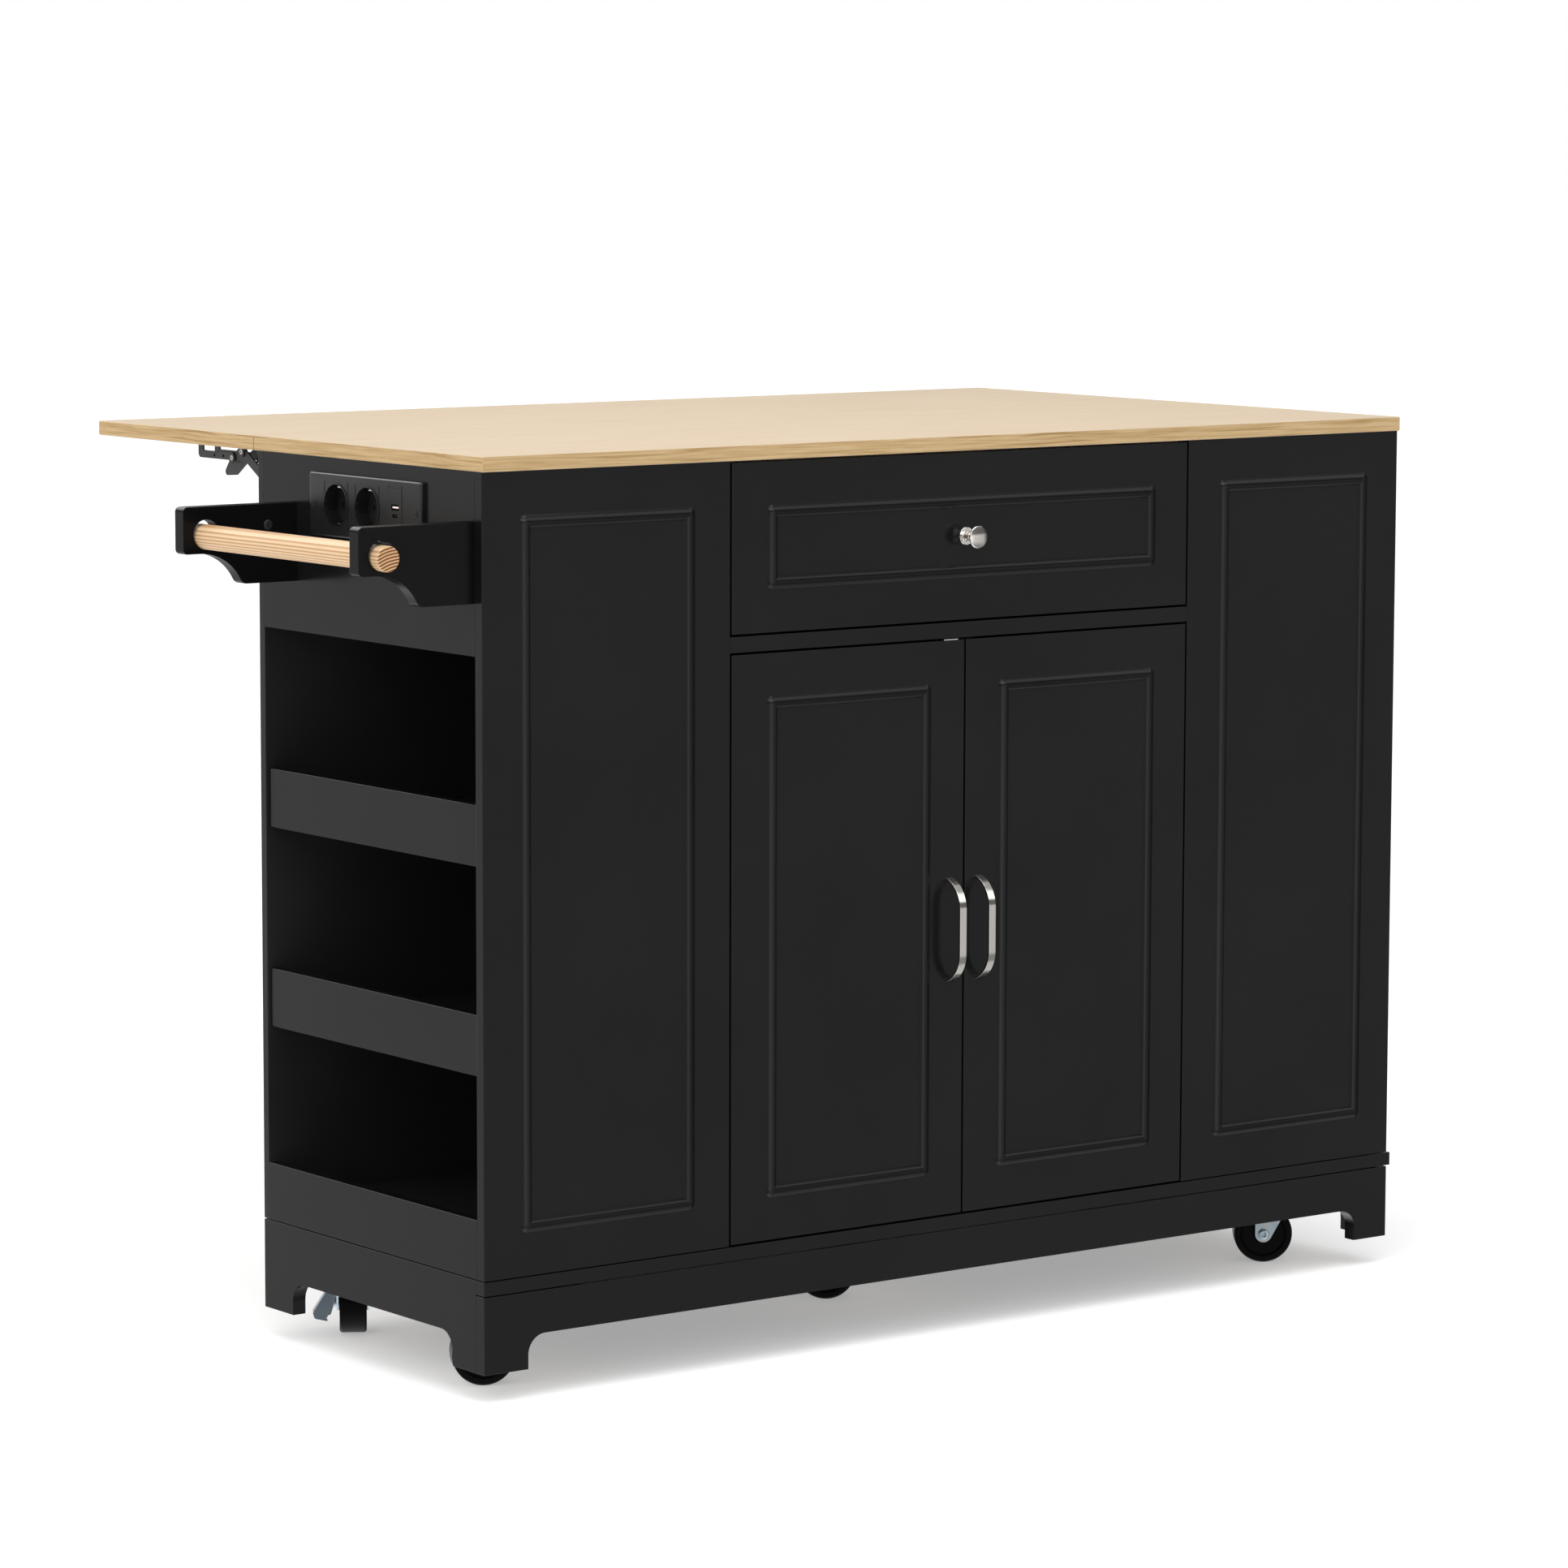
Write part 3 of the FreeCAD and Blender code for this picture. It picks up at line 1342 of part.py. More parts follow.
def leaf_strut(x):
    """The stay: a bar on each side of the leaf's arm, with a rivet head at its upper end."""
    foot = Vector(leaf_axis_y, strut_foot_z, 0)
    top = Vector(leaf_axis_y + strut_pin_out, leaf_axis_z + strut_pin_rise, 0)
    bars = []
    for side in (-1, 1):
        near, far = x + side * strut_start, x + side * strut_end
        cap = far + side * bracket_head_thickness
        bar = standing_yz(bar_face(foot, top, strut_half_width), min(near, far), max(near, far))
        bore = rivet(min(near, far) - cut_overrun, max(near, far) + cut_overrun, foot.x, foot.y,
                     strut_foot_pin_radius + bracket_pin_play)
        head = rivet(min(far, cap), max(far, cap), top.x, top.y, bracket_head_radius)
        bars.append(joined([bar, head]).cut(bore))
    return bars


# The release lever's outline round its rivet, as shares of its length outwards and its depth downwards.
# The last value is the corner's rounding as a share of its depth.
lever_outline_shares = [
    (-0.58, -0.12, 0.05), (-0.065, -0.91, 0.17), (0.525, -1.00, 0.20), (0.25, -0.20, 0.20),
    (0.18, 0.27, 0.20), (-0.13, 0.34, 0.20), (-0.54, 0.16, 0.08),
]


def leaf_lever(x, side):
    """The flat lever that frees the bracket."""
    y, z = bracket_y(lever_pin_out), body_top - lever_pin_drop
    face = rounded_face([(y + along * lever_length, z + down * lever_reach,
                          rounding * lever_reach)
                         for along, down, rounding in lever_outline_shares])
    ends = (x + side * lever_start, x + side * (lever_start + lever_sheet))
    plate = standing_yz(face, min(ends), max(ends))
    bore = rivet(min(ends) - cut_overrun, max(ends) + cut_overrun, y, z,
                 lever_pin_radius + bracket_pin_play)
    return plate.cut(bore)


# Writing the pieces

def save(name, *solids):
    """Write one node, moved so that the origin is at the middle of the footprint."""
    shape = Part.makeCompound([solid for solid in solids])
    if len(solids) == 1:
        shape = solids[0].copy()
    shape.translate(origin_shift)
    shape.exportStep("parts/" + name + ".step")


def save_body():
    save("fixed_top", worktop())
    save("left_front_panel", moulded_front(0, front_panel_width, body_bottom + seam_gap,
                                           body_top, front_panel_thickness))
    save("right_front_panel", moulded_front(right_panel_left, body_width, body_bottom + seam_gap,
                                            body_top, front_panel_thickness))
    save("back_panel", back_panel())
    save("left_end_panel", left_end_panel())
    save("right_end_panel", right_end_panel())
    save("left_partition", partition(left_bay_face, front_panel_width, 1))
    save("right_partition", partition(right_panel_left, right_panel_left, -1))
    save("base_board", base_board())
    save("front_plinth", front_plinth())
    save("back_plinth", back_plinth())
    save("side_plinths", side_plinth(0, body_bottom),
         side_plinth(body_width - plinth_thickness, plinth_top))
    save("plinth_corner_blocks", *corner_blocks())
    save("drawer_divider", divider())
    save("top_rails", *top_rails())
    save("cupboard_floor", cupboard_floor())
    save("cupboard_shelf", cupboard_shelf())
    save("shelf_pins", *shelf_pins())


def save_ends():
    save("left_rack_shelves", *rack_shelves(0, left_bay_face, 1))
    save("right_rack_shelves", *rack_shelves(body_width, right_bay_face, -1))
    save("left_rack_rails", *rack_rails(0, 1))
    save("right_rack_rails", *rack_rails(body_width, -1))
    save("towel_brackets", towel_plate(towel_front_plate), towel_plate(towel_back_plate))
    save("towel_rod", towel_rod())
    save("outlet_strip", outlet_strip())
    save("outlet_inserts", *[socket_insert(y) for y in socket_places], usb_insert())
    save("outlet_contacts", *outlet_contacts())


def save_drawer():
    save("drawer_front", drawer_front())
    save("drawer_sides", *drawer_sides())
    save("drawer_bottom", drawer_bottom())
    save("drawer_knob", drawer_knob())
    save("drawer_slide_channels", *slide_outers())
    save("drawer_slide_middles", *slide_middles())
    save("drawer_slide_inners", *slide_inners())


def save_doors():
    save("left_door", left_door())
    save("right_door", right_door())
    save("left_door_pull", pull(left_door_right - pull_edge_inset))
    save("right_door_pull", pull(right_door_left + pull_edge_inset))
    save("left_door_fittings", *left_door_fittings())
    save("right_door_fittings", *right_door_fittings())
    save("hinge_arms", *hinge_arms())
    save("magnetic_catch", magnetic_catch())


def save_casters():
    save("caster_plates", *[caster_plate(x, y) for x, y, angle in casters.values()])
    for name in casters:
        save(name + "_caster_fork", at_caster(brake_fork() if name == "back_left" else fork(), name))
        save(name + "_caster_wheel", at_caster(wheel(), name))
    save("brake_pedal", at_caster(brake_pedal(), "back_left"))


def save_leaf():
    left_x, right_x = bracket_places
    save("drop_leaf", drop_leaf())
    save("leaf_wall_arms", wall_arm(left_x), wall_arm(right_x))
    save("leaf_arms", leaf_arm(left_x, -1), leaf_arm(right_x, 1))
    save("leaf_struts", *leaf_strut(left_x), *leaf_strut(right_x))
    save("left_leaf_lever", leaf_lever(left_x, -1))
    save("right_leaf_lever", leaf_lever(right_x, 1))


os.makedirs("parts", exist_ok=True)
save_body()
save_ends()
save_drawer()
save_doors()
save_casters()
save_leaf()
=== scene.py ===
import json
import math

import bmesh
import bpy
from mathutils import Euler, Matrix, Vector


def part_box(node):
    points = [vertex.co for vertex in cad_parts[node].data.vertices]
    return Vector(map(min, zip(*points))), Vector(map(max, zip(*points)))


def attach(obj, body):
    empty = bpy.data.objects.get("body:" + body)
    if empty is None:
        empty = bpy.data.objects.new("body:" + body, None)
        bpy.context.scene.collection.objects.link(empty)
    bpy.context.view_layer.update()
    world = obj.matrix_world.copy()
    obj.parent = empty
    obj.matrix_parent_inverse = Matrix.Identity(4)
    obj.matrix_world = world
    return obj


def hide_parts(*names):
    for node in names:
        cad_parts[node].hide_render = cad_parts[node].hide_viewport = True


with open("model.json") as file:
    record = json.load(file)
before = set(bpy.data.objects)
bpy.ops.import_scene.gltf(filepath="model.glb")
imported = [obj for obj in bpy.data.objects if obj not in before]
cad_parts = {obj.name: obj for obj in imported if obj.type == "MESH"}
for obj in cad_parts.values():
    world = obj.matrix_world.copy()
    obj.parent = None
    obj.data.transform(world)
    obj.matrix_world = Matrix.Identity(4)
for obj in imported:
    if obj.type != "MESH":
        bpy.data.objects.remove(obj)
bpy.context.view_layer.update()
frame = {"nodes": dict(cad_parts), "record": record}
scene = bpy.context.scene

# Camera, at the place from which the photograph was taken: metres, degrees and millimetres
camera_place = (-3.64024, -4.98420, 1.28263)
camera_turn = (83.1227, -0.1488, -36.8207)
camera_lens, camera_sensor = 134.185, 36.0
camera_near, camera_far = 0.1, 60.0

camera_data = bpy.data.cameras.new("photo_camera")
camera_data.lens = camera_lens
camera_data.sensor_width = camera_sensor
camera_data.clip_start, camera_data.clip_end = camera_near, camera_far
camera = bpy.data.objects.new("photo_camera", camera_data)
camera.location = camera_place
camera.rotation_euler = Euler([math.radians(turn) for turn in camera_turn])
scene.collection.objects.link(camera)
scene.camera = camera
scene.view_settings.view_transform = "Standard"


# Places read from the frame, in metres
joints = {joint["name"]: joint for joint in frame["record"]["behaviour"]["joints"]}

rod_low, rod_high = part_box("towel_rod")
rod_middle = (rod_low + rod_high) / 2

strip_low, strip_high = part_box("outlet_strip")
strip_face = strip_low.x
strip_middle_z = (strip_low.z + strip_high.z) / 2
strip_screw_inset = 0.0092
strip_screws = (strip_low.y + strip_screw_inset, strip_high.y - strip_screw_inset)
strip_screw_radius = 0.0040
socket_from_end, socket_spacing = 0.0497, 0.0564
socket_places = (strip_high.y - socket_from_end - socket_spacing, strip_high.y - socket_from_end)
port_from_end = 0.0454
port_middle_y = strip_low.y + port_from_end

# Folding brackets: their middles across the island, and their bare pins as (depth, height)
lever_joints = (joints["left_lever_pull"], joints["right_lever_pull"])
bracket_middles = [joint["pos_m"][0] for joint in lever_joints]
lever_pin = tuple(lever_joints[0]["pos_m"][1:])
stay_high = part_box("leaf_struts")[1]
stay_end_radius = 0.0055
stay_top_pin = (stay_high.y - stay_end_radius, stay_high.z - stay_end_radius)
bare_pins = (stay_top_pin, lever_pin)
bare_pin_radius = 0.0026


# Materials

facing_limit = 0.6


def filled_ramp(node, stops):
    """Gives a ramp node its stops, each a place and a colour, in rising order."""
    elements = node.color_ramp.elements
    while len(elements) > 1:
        elements.remove(elements[-1])
    for number, (place, colour) in enumerate(stops):
        element = elements[0] if number == 0 else elements.new(place)
        element.position = place
        element.color = (*colour, 1.0) if isinstance(colour, tuple) else (*[colour] * 3, 1.0)


class Surface:
    """A material made of nodes that work in the object's own metres."""

    def __init__(self, name, **constants):
        self.material = bpy.data.materials.new(name)
        self.material.use_nodes = True
        self.tree = self.material.node_tree
        self.shader = self.tree.nodes["Principled BSDF"]
        for socket, value in constants.items():
            self.shader.inputs[socket.replace("_", " ")].default_value = value
        coordinates = self.tree.nodes.new("ShaderNodeTexCoord")
        self.place = coordinates.outputs["Object"]
        self.facing = coordinates.outputs["Normal"]
        self.relief = None

    def put(self, socket, value):
        """Links or sets an input of a node."""
        if isinstance(value, bpy.types.NodeSocket):
            self.tree.links.new(value, socket)
        else:
            socket.default_value = value

    def stretched(self, scale, place=None):
        """A place scaled along each axis, so that noise has about that many waves a metre."""
        node = self.tree.nodes.new("ShaderNodeMapping")
        self.put(node.inputs["Vector"], place or self.place)
        node.inputs["Scale"].default_value = scale
        return node.outputs["Vector"]

    def noise(self, place=None, scale=1.0, detail=2.0, roughness=0.5, distortion=0.0):
        node = self.tree.nodes.new("ShaderNodeTexNoise")
        self.put(node.inputs["Vector"], place or self.place)
        node.inputs["Scale"].default_value = scale
        node.inputs["Detail"].default_value = detail
        node.inputs["Roughness"].default_value = roughness
        node.inputs["Distortion"].default_value = distortion
        return node.outputs["Fac"]

    def cells(self, scale):
        """The distance to the nearest of many scattered points."""
        node = self.tree.nodes.new("ShaderNodeTexVoronoi")
        self.put(node.inputs["Vector"], self.place)
        node.inputs["Scale"].default_value = scale
        return node.outputs["Distance"]

    def math(self, operation, first, second=0.0):
        node = self.tree.nodes.new("ShaderNodeMath")
        node.operation = operation
        self.put(node.inputs[0], first)
        self.put(node.inputs[1], second)
        return node.outputs[0]

    def added(self, first, second):
        return self.math("ADD", first, second)

    def less(self, first, second):
        return self.math("SUBTRACT", first, second)

    def reach(self, first, second):
        """The length of the slope over two legs at a right angle."""
        squares = self.added(self.math("POWER", first, 2.0), self.math("POWER", second, 2.0))
        return self.math("POWER", squares, 0.5)

    def parts(self, vector):
        node = self.tree.nodes.new("ShaderNodeSeparateXYZ")
        self.put(node.inputs[0], vector)
        return node.outputs

    def vector(self, x, y, z):
        node = self.tree.nodes.new("ShaderNodeCombineXYZ")
        for socket, value in zip(node.inputs, (x, y, z)):
            self.put(socket, value)
        return node.outputs[0]

    def faces(self, axis):
        """1 where the surface faces along an axis, named X, Y or Z, and 0 elsewhere."""
        along = self.parts(self.facing)[axis]
        return self.math("GREATER_THAN", self.math("ABSOLUTE", along), facing_limit)

    def ramp(self, value, *stops):
        """Colours or grey levels along a value, each stop a place and a colour."""
        node = self.tree.nodes.new("ShaderNodeValToRGB")
        filled_ramp(node, stops)
        self.put(node.inputs[0], value)
        return node.outputs["Color"]

    def mixed(self, share, first, second):
        """Two colours mixed; the share is the second one's."""
        node = self.tree.nodes.new("ShaderNodeMix")
        node.data_type = "RGBA"
        self.put(node.inputs["Factor"], share)
        for name, value in (("A", first), ("B", second)):
            socket = next(s for s in node.inputs if s.name == name and s.type == "RGBA")
            self.put(socket, (*value, 1.0) if isinstance(value, tuple) else value)
        return next(s for s in node.outputs if s.type == "RGBA")

    def spread(self, value, low, high):
        """The value spread over a range, as a number."""
        node = self.tree.nodes.new("ShaderNodeMapRange")
        self.put(node.inputs["Value"], value)
        node.inputs["To Min"].default_value = low
        node.inputs["To Max"].default_value = high
        return node.outputs["Result"]

    def bump(self, height, distance, strength):
        """Adds relief; the distance is its height in metres."""
        node = self.tree.nodes.new("ShaderNodeBump")
        self.put(node.inputs["Height"], height)
        node.inputs["Distance"].default_value = distance
        node.inputs["Strength"].default_value = strength
        if self.relief:
            self.tree.links.new(self.relief, node.inputs["Normal"])
        self.relief = node.outputs["Normal"]

    def finish(self, colour, roughness, metallic=None):
        self.put(self.shader.inputs["Base Color"], colour)
        self.put(self.shader.inputs["Roughness"], roughness)
        if metallic is not None:
            self.put(self.shader.inputs["Metallic"], metallic)
        if self.relief:
            self.tree.links.new(self.relief, self.shader.inputs["Normal"])
        return self.material


def worktop_material():
    """Pale oak laminate: faint grain on the faces and a yellower, stronger edge band."""
    face_tones = ((0.30, (0.441, 0.343, 0.233)), (0.52, (0.502, 0.405, 0.295)),
                  (0.72, (0.535, 0.444, 0.335)))
    warm_tone, pore_tone = (0.515, 0.392, 0.262), (0.401, 0.298, 0.190)
    band_tones = ((0.30, (0.300, 0.190, 0.080)), (0.44, (0.400, 0.272, 0.134)),
                  (0.56, (0.466, 0.330, 0.174)), (0.75, (0.525, 0.388, 0.222)))
    dash_tone = (0.335, 0.21, 0.096)

    s = Surface("oak_laminate", Specular_IOR_Level=0.05)
    x, y, z = s.parts(s.place)
    at_end = s.faces("X")

    # The faces, with their grain along the island
    plane = s.vector(x, y, 0.0)
    streaks = s.noise(s.stretched((5.0, 190.0, 190.0), plane), detail=5.0, roughness=0.62, distortion=0.35)
    pores = s.noise(s.stretched((22.0, 800.0, 800.0), plane), detail=3.0, roughness=0.7)
    broad = s.noise(s.stretched((1.1, 14.0, 14.0), plane))
    face = s.ramp(streaks, *face_tones)
    warmth = s.spread(s.ramp(broad, (0.42, 0.0), (0.68, 1.0)), low=0.0, high=0.35)
    face = s.mixed(warmth, face, warm_tone)
    face = s.mixed(s.ramp(pores, (0.60, 0.0), (0.74, 0.30)), face, pore_tone)

    # The edge band, with its lines along whichever edge it covers
    along = s.added(s.math("MULTIPLY", x, s.less(1.0, at_end)), s.math("MULTIPLY", y, at_end))
    edge = s.vector(along, z, 0.0)
    lines = s.noise(s.stretched((9.0, 330.0, 1.0), edge), detail=5.0, roughness=0.6, distortion=1.1)
    dashes = s.noise(s.stretched((60.0, 1500.0, 1.0), edge), detail=3.0, roughness=0.6)
    band = s.ramp(lines, *band_tones)
    band = s.mixed(s.ramp(dashes, (0.58, 0.0), (0.72, 0.45)), band, dash_tone)

    s.bump(pores, distance=0.00004, strength=0.25)
    return s.finish(s.mixed(s.faces("Z"), band, face), s.spread(streaks, low=0.40, high=0.52))


def lacquer_material(name, shine, tone=0.0055, low=0.17, high=0.21):
    """Satin black lacquer over board, with the faint unevenness of a sprayed coat."""
    darker = tuple(tone * share for share in (0.85, 0.86, 0.90))
    lighter = tuple(tone * share for share in (1.15, 1.15, 1.18))
    dust_roughness = 0.02
    s = Surface(name, Specular_IOR_Level=shine)
    cloud = s.noise(scale=7.0, detail=3.0)
    peel = s.noise(scale=420.0)
    dust = s.noise(scale=1900.0, detail=1.0)
    roughness = s.added(s.spread(cloud, low, high), s.spread(dust, -dust_roughness, dust_roughness))
    s.bump(peel, distance=0.00006, strength=0.25)
    s.bump(dust, distance=0.00002, strength=0.2)
    return s.finish(s.ramp(cloud, (0.3, darker), (0.7, lighter)), roughness)


def dowel_material(middle_x, middle_z):
    """Softwood dowel: growth rings round a pith beside the rod, long lines on its side."""
    pith_right, pith_down, ring_width = 0.016, 0.058, 0.0030
    wander_share, ripple_share = 1.1, 0.12
    side_tones = ((0.0, (0.56, 0.375, 0.215)), (0.10, (0.64, 0.465, 0.305)), (0.50, (0.61, 0.425, 0.26)),
                  (0.78, (0.385, 0.215, 0.095)), (0.95, (0.43, 0.25, 0.115)))
    end_tones = ((0.0, (0.50, 0.275, 0.125)), (0.12, (0.60, 0.36, 0.18)), (0.42, (0.47, 0.26, 0.115)),
                 (0.66, (0.085, 0.032, 0.012)), (0.92, (0.13, 0.055, 0.022)))
    fibre_tone = (0.50, 0.31, 0.16)

    s = Surface("dowel_pine", Specular_IOR_Level=0.3)
    place = s.parts(s.place)
    wander = s.noise(s.stretched((14.0, 1.6, 14.0)), detail=3.0, roughness=0.55)
    ripple = s.noise(s.stretched((160.0, 9.0, 160.0)))
    from_pith = s.reach(s.less(place["X"], middle_x + pith_right), s.less(place["Z"], middle_z - pith_down))
    unevenness = s.added(s.math("MULTIPLY", wander, wander_share), s.math("MULTIPLY", ripple, ripple_share))
    year = s.math("FRACT", s.added(s.math("DIVIDE", from_pith, ring_width), unevenness))
    fibres = s.noise(s.stretched((700.0, 18.0, 700.0)), detail=3.0, roughness=0.6)
    side = s.mixed(s.ramp(fibres, (0.52, 0.0), (0.74, 0.35)), s.ramp(year, *side_tones), fibre_tone)
    colour = s.mixed(s.faces("Y"), side, s.ramp(year, *end_tones))
    s.bump(fibres, distance=0.00006, strength=0.3)
    return s.finish(colour, s.spread(fibres, low=0.48, high=0.60))


def brushed_material(name, low, high, scale, glossy, dull):
    """Metal with fine brushing lines; scale is small along the lines."""
    s = Surface(name, Metallic=1.0)
    lines = s.noise(s.stretched(scale), detail=4.0, roughness=0.65)
    patches = s.noise(scale=90.0)
    colour = s.mixed(s.spread(patches, low=0.0, high=0.35), s.ramp(lines, (0.3, low), (0.7, high)), high)
    s.bump(lines, distance=0.00002, strength=0.25)
    return s.finish(colour, s.spread(lines, glossy, dull))


def zinc_material(name, painted_shade):
    """Zinc plated sheet steel with its blue and straw tints, mixed all over towards a dark tone by a share
    of painted shade.
    """
    tints = ((0.30, (0.27, 0.34, 0.39)), (0.52, (0.33, 0.385, 0.42)), (0.74, (0.37, 0.39, 0.38)))
    # The dark tone is painted shade that darkens the whole part evenly
    painted_shade_tone = (0.03, 0.045, 0.055)
    s = Surface(name, Metallic=1.0)
    tint = s.noise(scale=70.0, detail=3.0)
    grain = s.noise(s.stretched((240.0, 240.0, 900.0)))
    s.bump(grain, distance=0.00003, strength=0.3)
    return s.finish(s.mixed(painted_shade, s.ramp(tint, *tints), painted_shade_tone), s.spread(grain, low=0.22, high=0.42))


def plastic_material(name, tone, shine, low, high, grain):
    """Black moulded plastic with a spark-eroded grain."""
    darker, lighter = (tone * 0.8,) * 3, (tone * 1.2,) * 3
    s = Surface(name, Specular_IOR_Level=shine)
    cloud = s.noise(scale=26.0, detail=3.0)
    s.bump(s.cells(grain), distance=0.00004, strength=0.3)
    return s.finish(s.ramp(cloud, (0.3, darker), (0.7, lighter)), s.spread(s.noise(scale=320.0), low, high))


def black_steel_material(pins, pin_radius):
    """Black powder coat; the peened pin ends in it are bare metal with a dark dimple."""
    dimple_share, bare_roughness_change = 0.45, -0.12
    bare_tone, dimple_tone = (0.60, 0.56, 0.50), (0.12, 0.11, 0.10)
    s = Surface("black_powder_coat", Specular_IOR_Level=0.45)
    place = s.parts(s.place)
    bare, dimple = 0.0, 0.0
    for pin_y, pin_z in pins:
        apart = s.reach(s.less(place["Y"], pin_y), s.less(place["Z"], pin_z))
        bare = s.math("MAXIMUM", bare, s.math("LESS_THAN", apart, pin_radius))
        dimple = s.math("MAXIMUM", dimple, s.math("LESS_THAN", apart, pin_radius * dimple_share))
    grain = s.cells(1300.0)
    paint = s.ramp(s.noise(scale=60.0, detail=3.0), (0.3, (0.009, 0.009, 0.010)),
                   (0.7, (0.014, 0.014, 0.015)))
    metal = s.mixed(dimple, bare_tone, dimple_tone)
    s.bump(grain, distance=0.00005, strength=0.4)
    change = s.math("MULTIPLY", bare, bare_roughness_change)
    roughness = s.added(change, s.spread(grain, low=0.38, high=0.46))
    return s.finish(s.mixed(bare, paint, metal), roughness, bare)


def contact_material(screws, screw_radius):
    """Bright spring steel clips; the strip's screws, at the given depths, are blackened."""
    black_roughness_change = 0.16
    s = Surface("spring_steel")
    place = s.parts(s.place)
    black = 0.0
    for screw_y in screws:
        apart = s.math("ABSOLUTE", s.less(place["Y"], screw_y))
        black = s.math("MAXIMUM", black, s.math("LESS_THAN", apart, screw_radius))
    lines = s.noise(s.stretched((700.0, 60.0, 700.0)), detail=4.0, roughness=0.65)
    steel = s.ramp(lines, (0.3, (0.58, 0.56, 0.52)), (0.7, (0.78, 0.76, 0.72)))
    coat = s.ramp(lines, (0.3, (0.008, 0.008, 0.009)), (0.7, (0.014, 0.014, 0.015)))
    s.bump(lines, distance=0.00002, strength=0.25)
    change = s.math("MULTIPLY", black, black_roughness_change)
    roughness = s.added(s.spread(lines, low=0.16, high=0.26), change)
    return s.finish(s.mixed(black, steel, coat), roughness, s.less(1.0, black))


def board_material():
    """Raw particle board."""
    chip_tones = ((0.3, (0.34, 0.23, 0.13)), (0.7, (0.62, 0.47, 0.31)))
    flake_tones = ((0.0, (0.30, 0.20, 0.11)), (0.6, (0.58, 0.44, 0.29)))
    flake_share = 0.55
    s = Surface("particle_board", Specular_IOR_Level=0.2)
    flakes = s.cells(420.0)
    chips = s.ramp(s.noise(scale=520.0, detail=4.0), *chip_tones)
    s.bump(flakes, distance=0.0002, strength=0.5)
    colour = s.mixed(flake_share, chips, s.ramp(flakes, *flake_tones))
    return s.finish(colour, s.spread(flakes, low=0.75, high=0.9))


def laminate_material():
    """Black paper laminate of the drawer box."""
    s = Surface("black_laminate", Specular_IOR_Level=0.3)
    grain = s.noise(s.stretched((900.0, 900.0, 900.0)))
    colour = s.ramp(s.noise(scale=12.0, detail=3.0), (0.3, (0.010, 0.010, 0.011)),
                    (0.7, (0.016, 0.016, 0.017)))
    s.bump(grain, distance=0.00005, strength=0.4)
    return s.finish(colour, s.spread(grain, low=0.42, high=0.52))


def port_tongue_material():
    """The pale tongue inside the wider charging port."""
    s = Surface("port_tongue", Specular_IOR_Level=0.5)
    cloud = s.noise(scale=900.0)
    colour = s.ramp(cloud, (0.3, (0.80, 0.62, 0.54)), (0.7, (0.90, 0.80, 0.76)))
    return s.finish(colour, s.spread(cloud, low=0.28, high=0.4))


# Brushing is fine across the lines and long along them, so the small scale is along them
upright_brush, turned_brush, plate_brush = (900.0, 900.0, 14.0), (500.0, 60.0, 500.0), (260.0, 260.0, 40.0)

# The boards inside the racks and cupboard are the same black lacquer with a lighter tone: painted light for
# the light that reaches the interior
inner_lacquer_painted_light_look = lacquer_material("black_inner_boards_painted_light", shine=0.12, tone=0.016, low=0.38, high=0.46)
plate_lacquer_look = lacquer_material("black_lacquer_plates", shine=0.10, tone=0.0036, low=0.24, high=0.29)
knob_look = brushed_material("turned_nickel", (0.53, 0.505, 0.475), (0.68, 0.655, 0.62), turned_brush,
                             glossy=0.08, dull=0.15)
plated_look = brushed_material("nickel_plate", (0.60, 0.585, 0.56), (0.72, 0.70, 0.68), plate_brush,
                               glossy=0.18, dull=0.30)
zinc_look = zinc_material("zinc_plate", painted_shade=0.0)
outlet_look = plastic_material("outlet_plastic", tone=0.0060, shine=0.42, low=0.30, high=0.42, grain=2200.0)
steel_look = black_steel_material(bare_pins, bare_pin_radius)
tongue_look = port_tongue_material()

looks = {
    "worktop": worktop_material(),
    "black_lacquer": lacquer_material("black_lacquer", shine=0.17),
    "raw_board": board_material(),
    "drawer_box": laminate_material(),
    "dowel_wood": dowel_material(rod_middle.x, rod_middle.z),
    "outlet_plastic": outlet_look,
    "contact_metal": contact_material(strip_screws, strip_screw_radius),
    "brushed_nickel": brushed_material("brushed_nickel", (0.50, 0.478, 0.45), (0.62, 0.60, 0.57),
                                       upright_brush, glossy=0.09, dull=0.17),
    "nickel_plated": plated_look,
    "catch_plastic": plastic_material("catch_plastic", tone=0.016, shine=0.4, low=0.42, high=0.55,
                                      grain=1500.0),
    "zinc_steel": zinc_look,
    "black_steel": steel_look,
    "wheel_black": plastic_material("wheel_nylon", tone=0.0016, shine=0.05, low=0.36, high=0.48,
                                    grain=1800.0),
}
special_looks = {
    "towel_brackets": plate_lacquer_look,
    # The brake pedal's zinc carries painted shade: it is darkened all over for the shade it sits in under
    # the island
    "brake_pedal": zinc_material("zinc_plate_painted_shade", painted_shade=0.68),
}
# These inner boards get the lacquer with painted light
for inner_board in ("left_rack_shelves", "right_rack_shelves", "left_partition", "right_partition",
                    "back_panel", "cupboard_floor", "cupboard_shelf"):
    special_looks[inner_board] = inner_lacquer_painted_light_look

for part in frame["record"]["subparts"]:
    node = frame["nodes"][part["node"]]
    node.data.materials.clear()
    node.data.materials.append(special_looks.get(part["node"], looks[part["material_slot"]]))


# Small pieces that the solids leave out

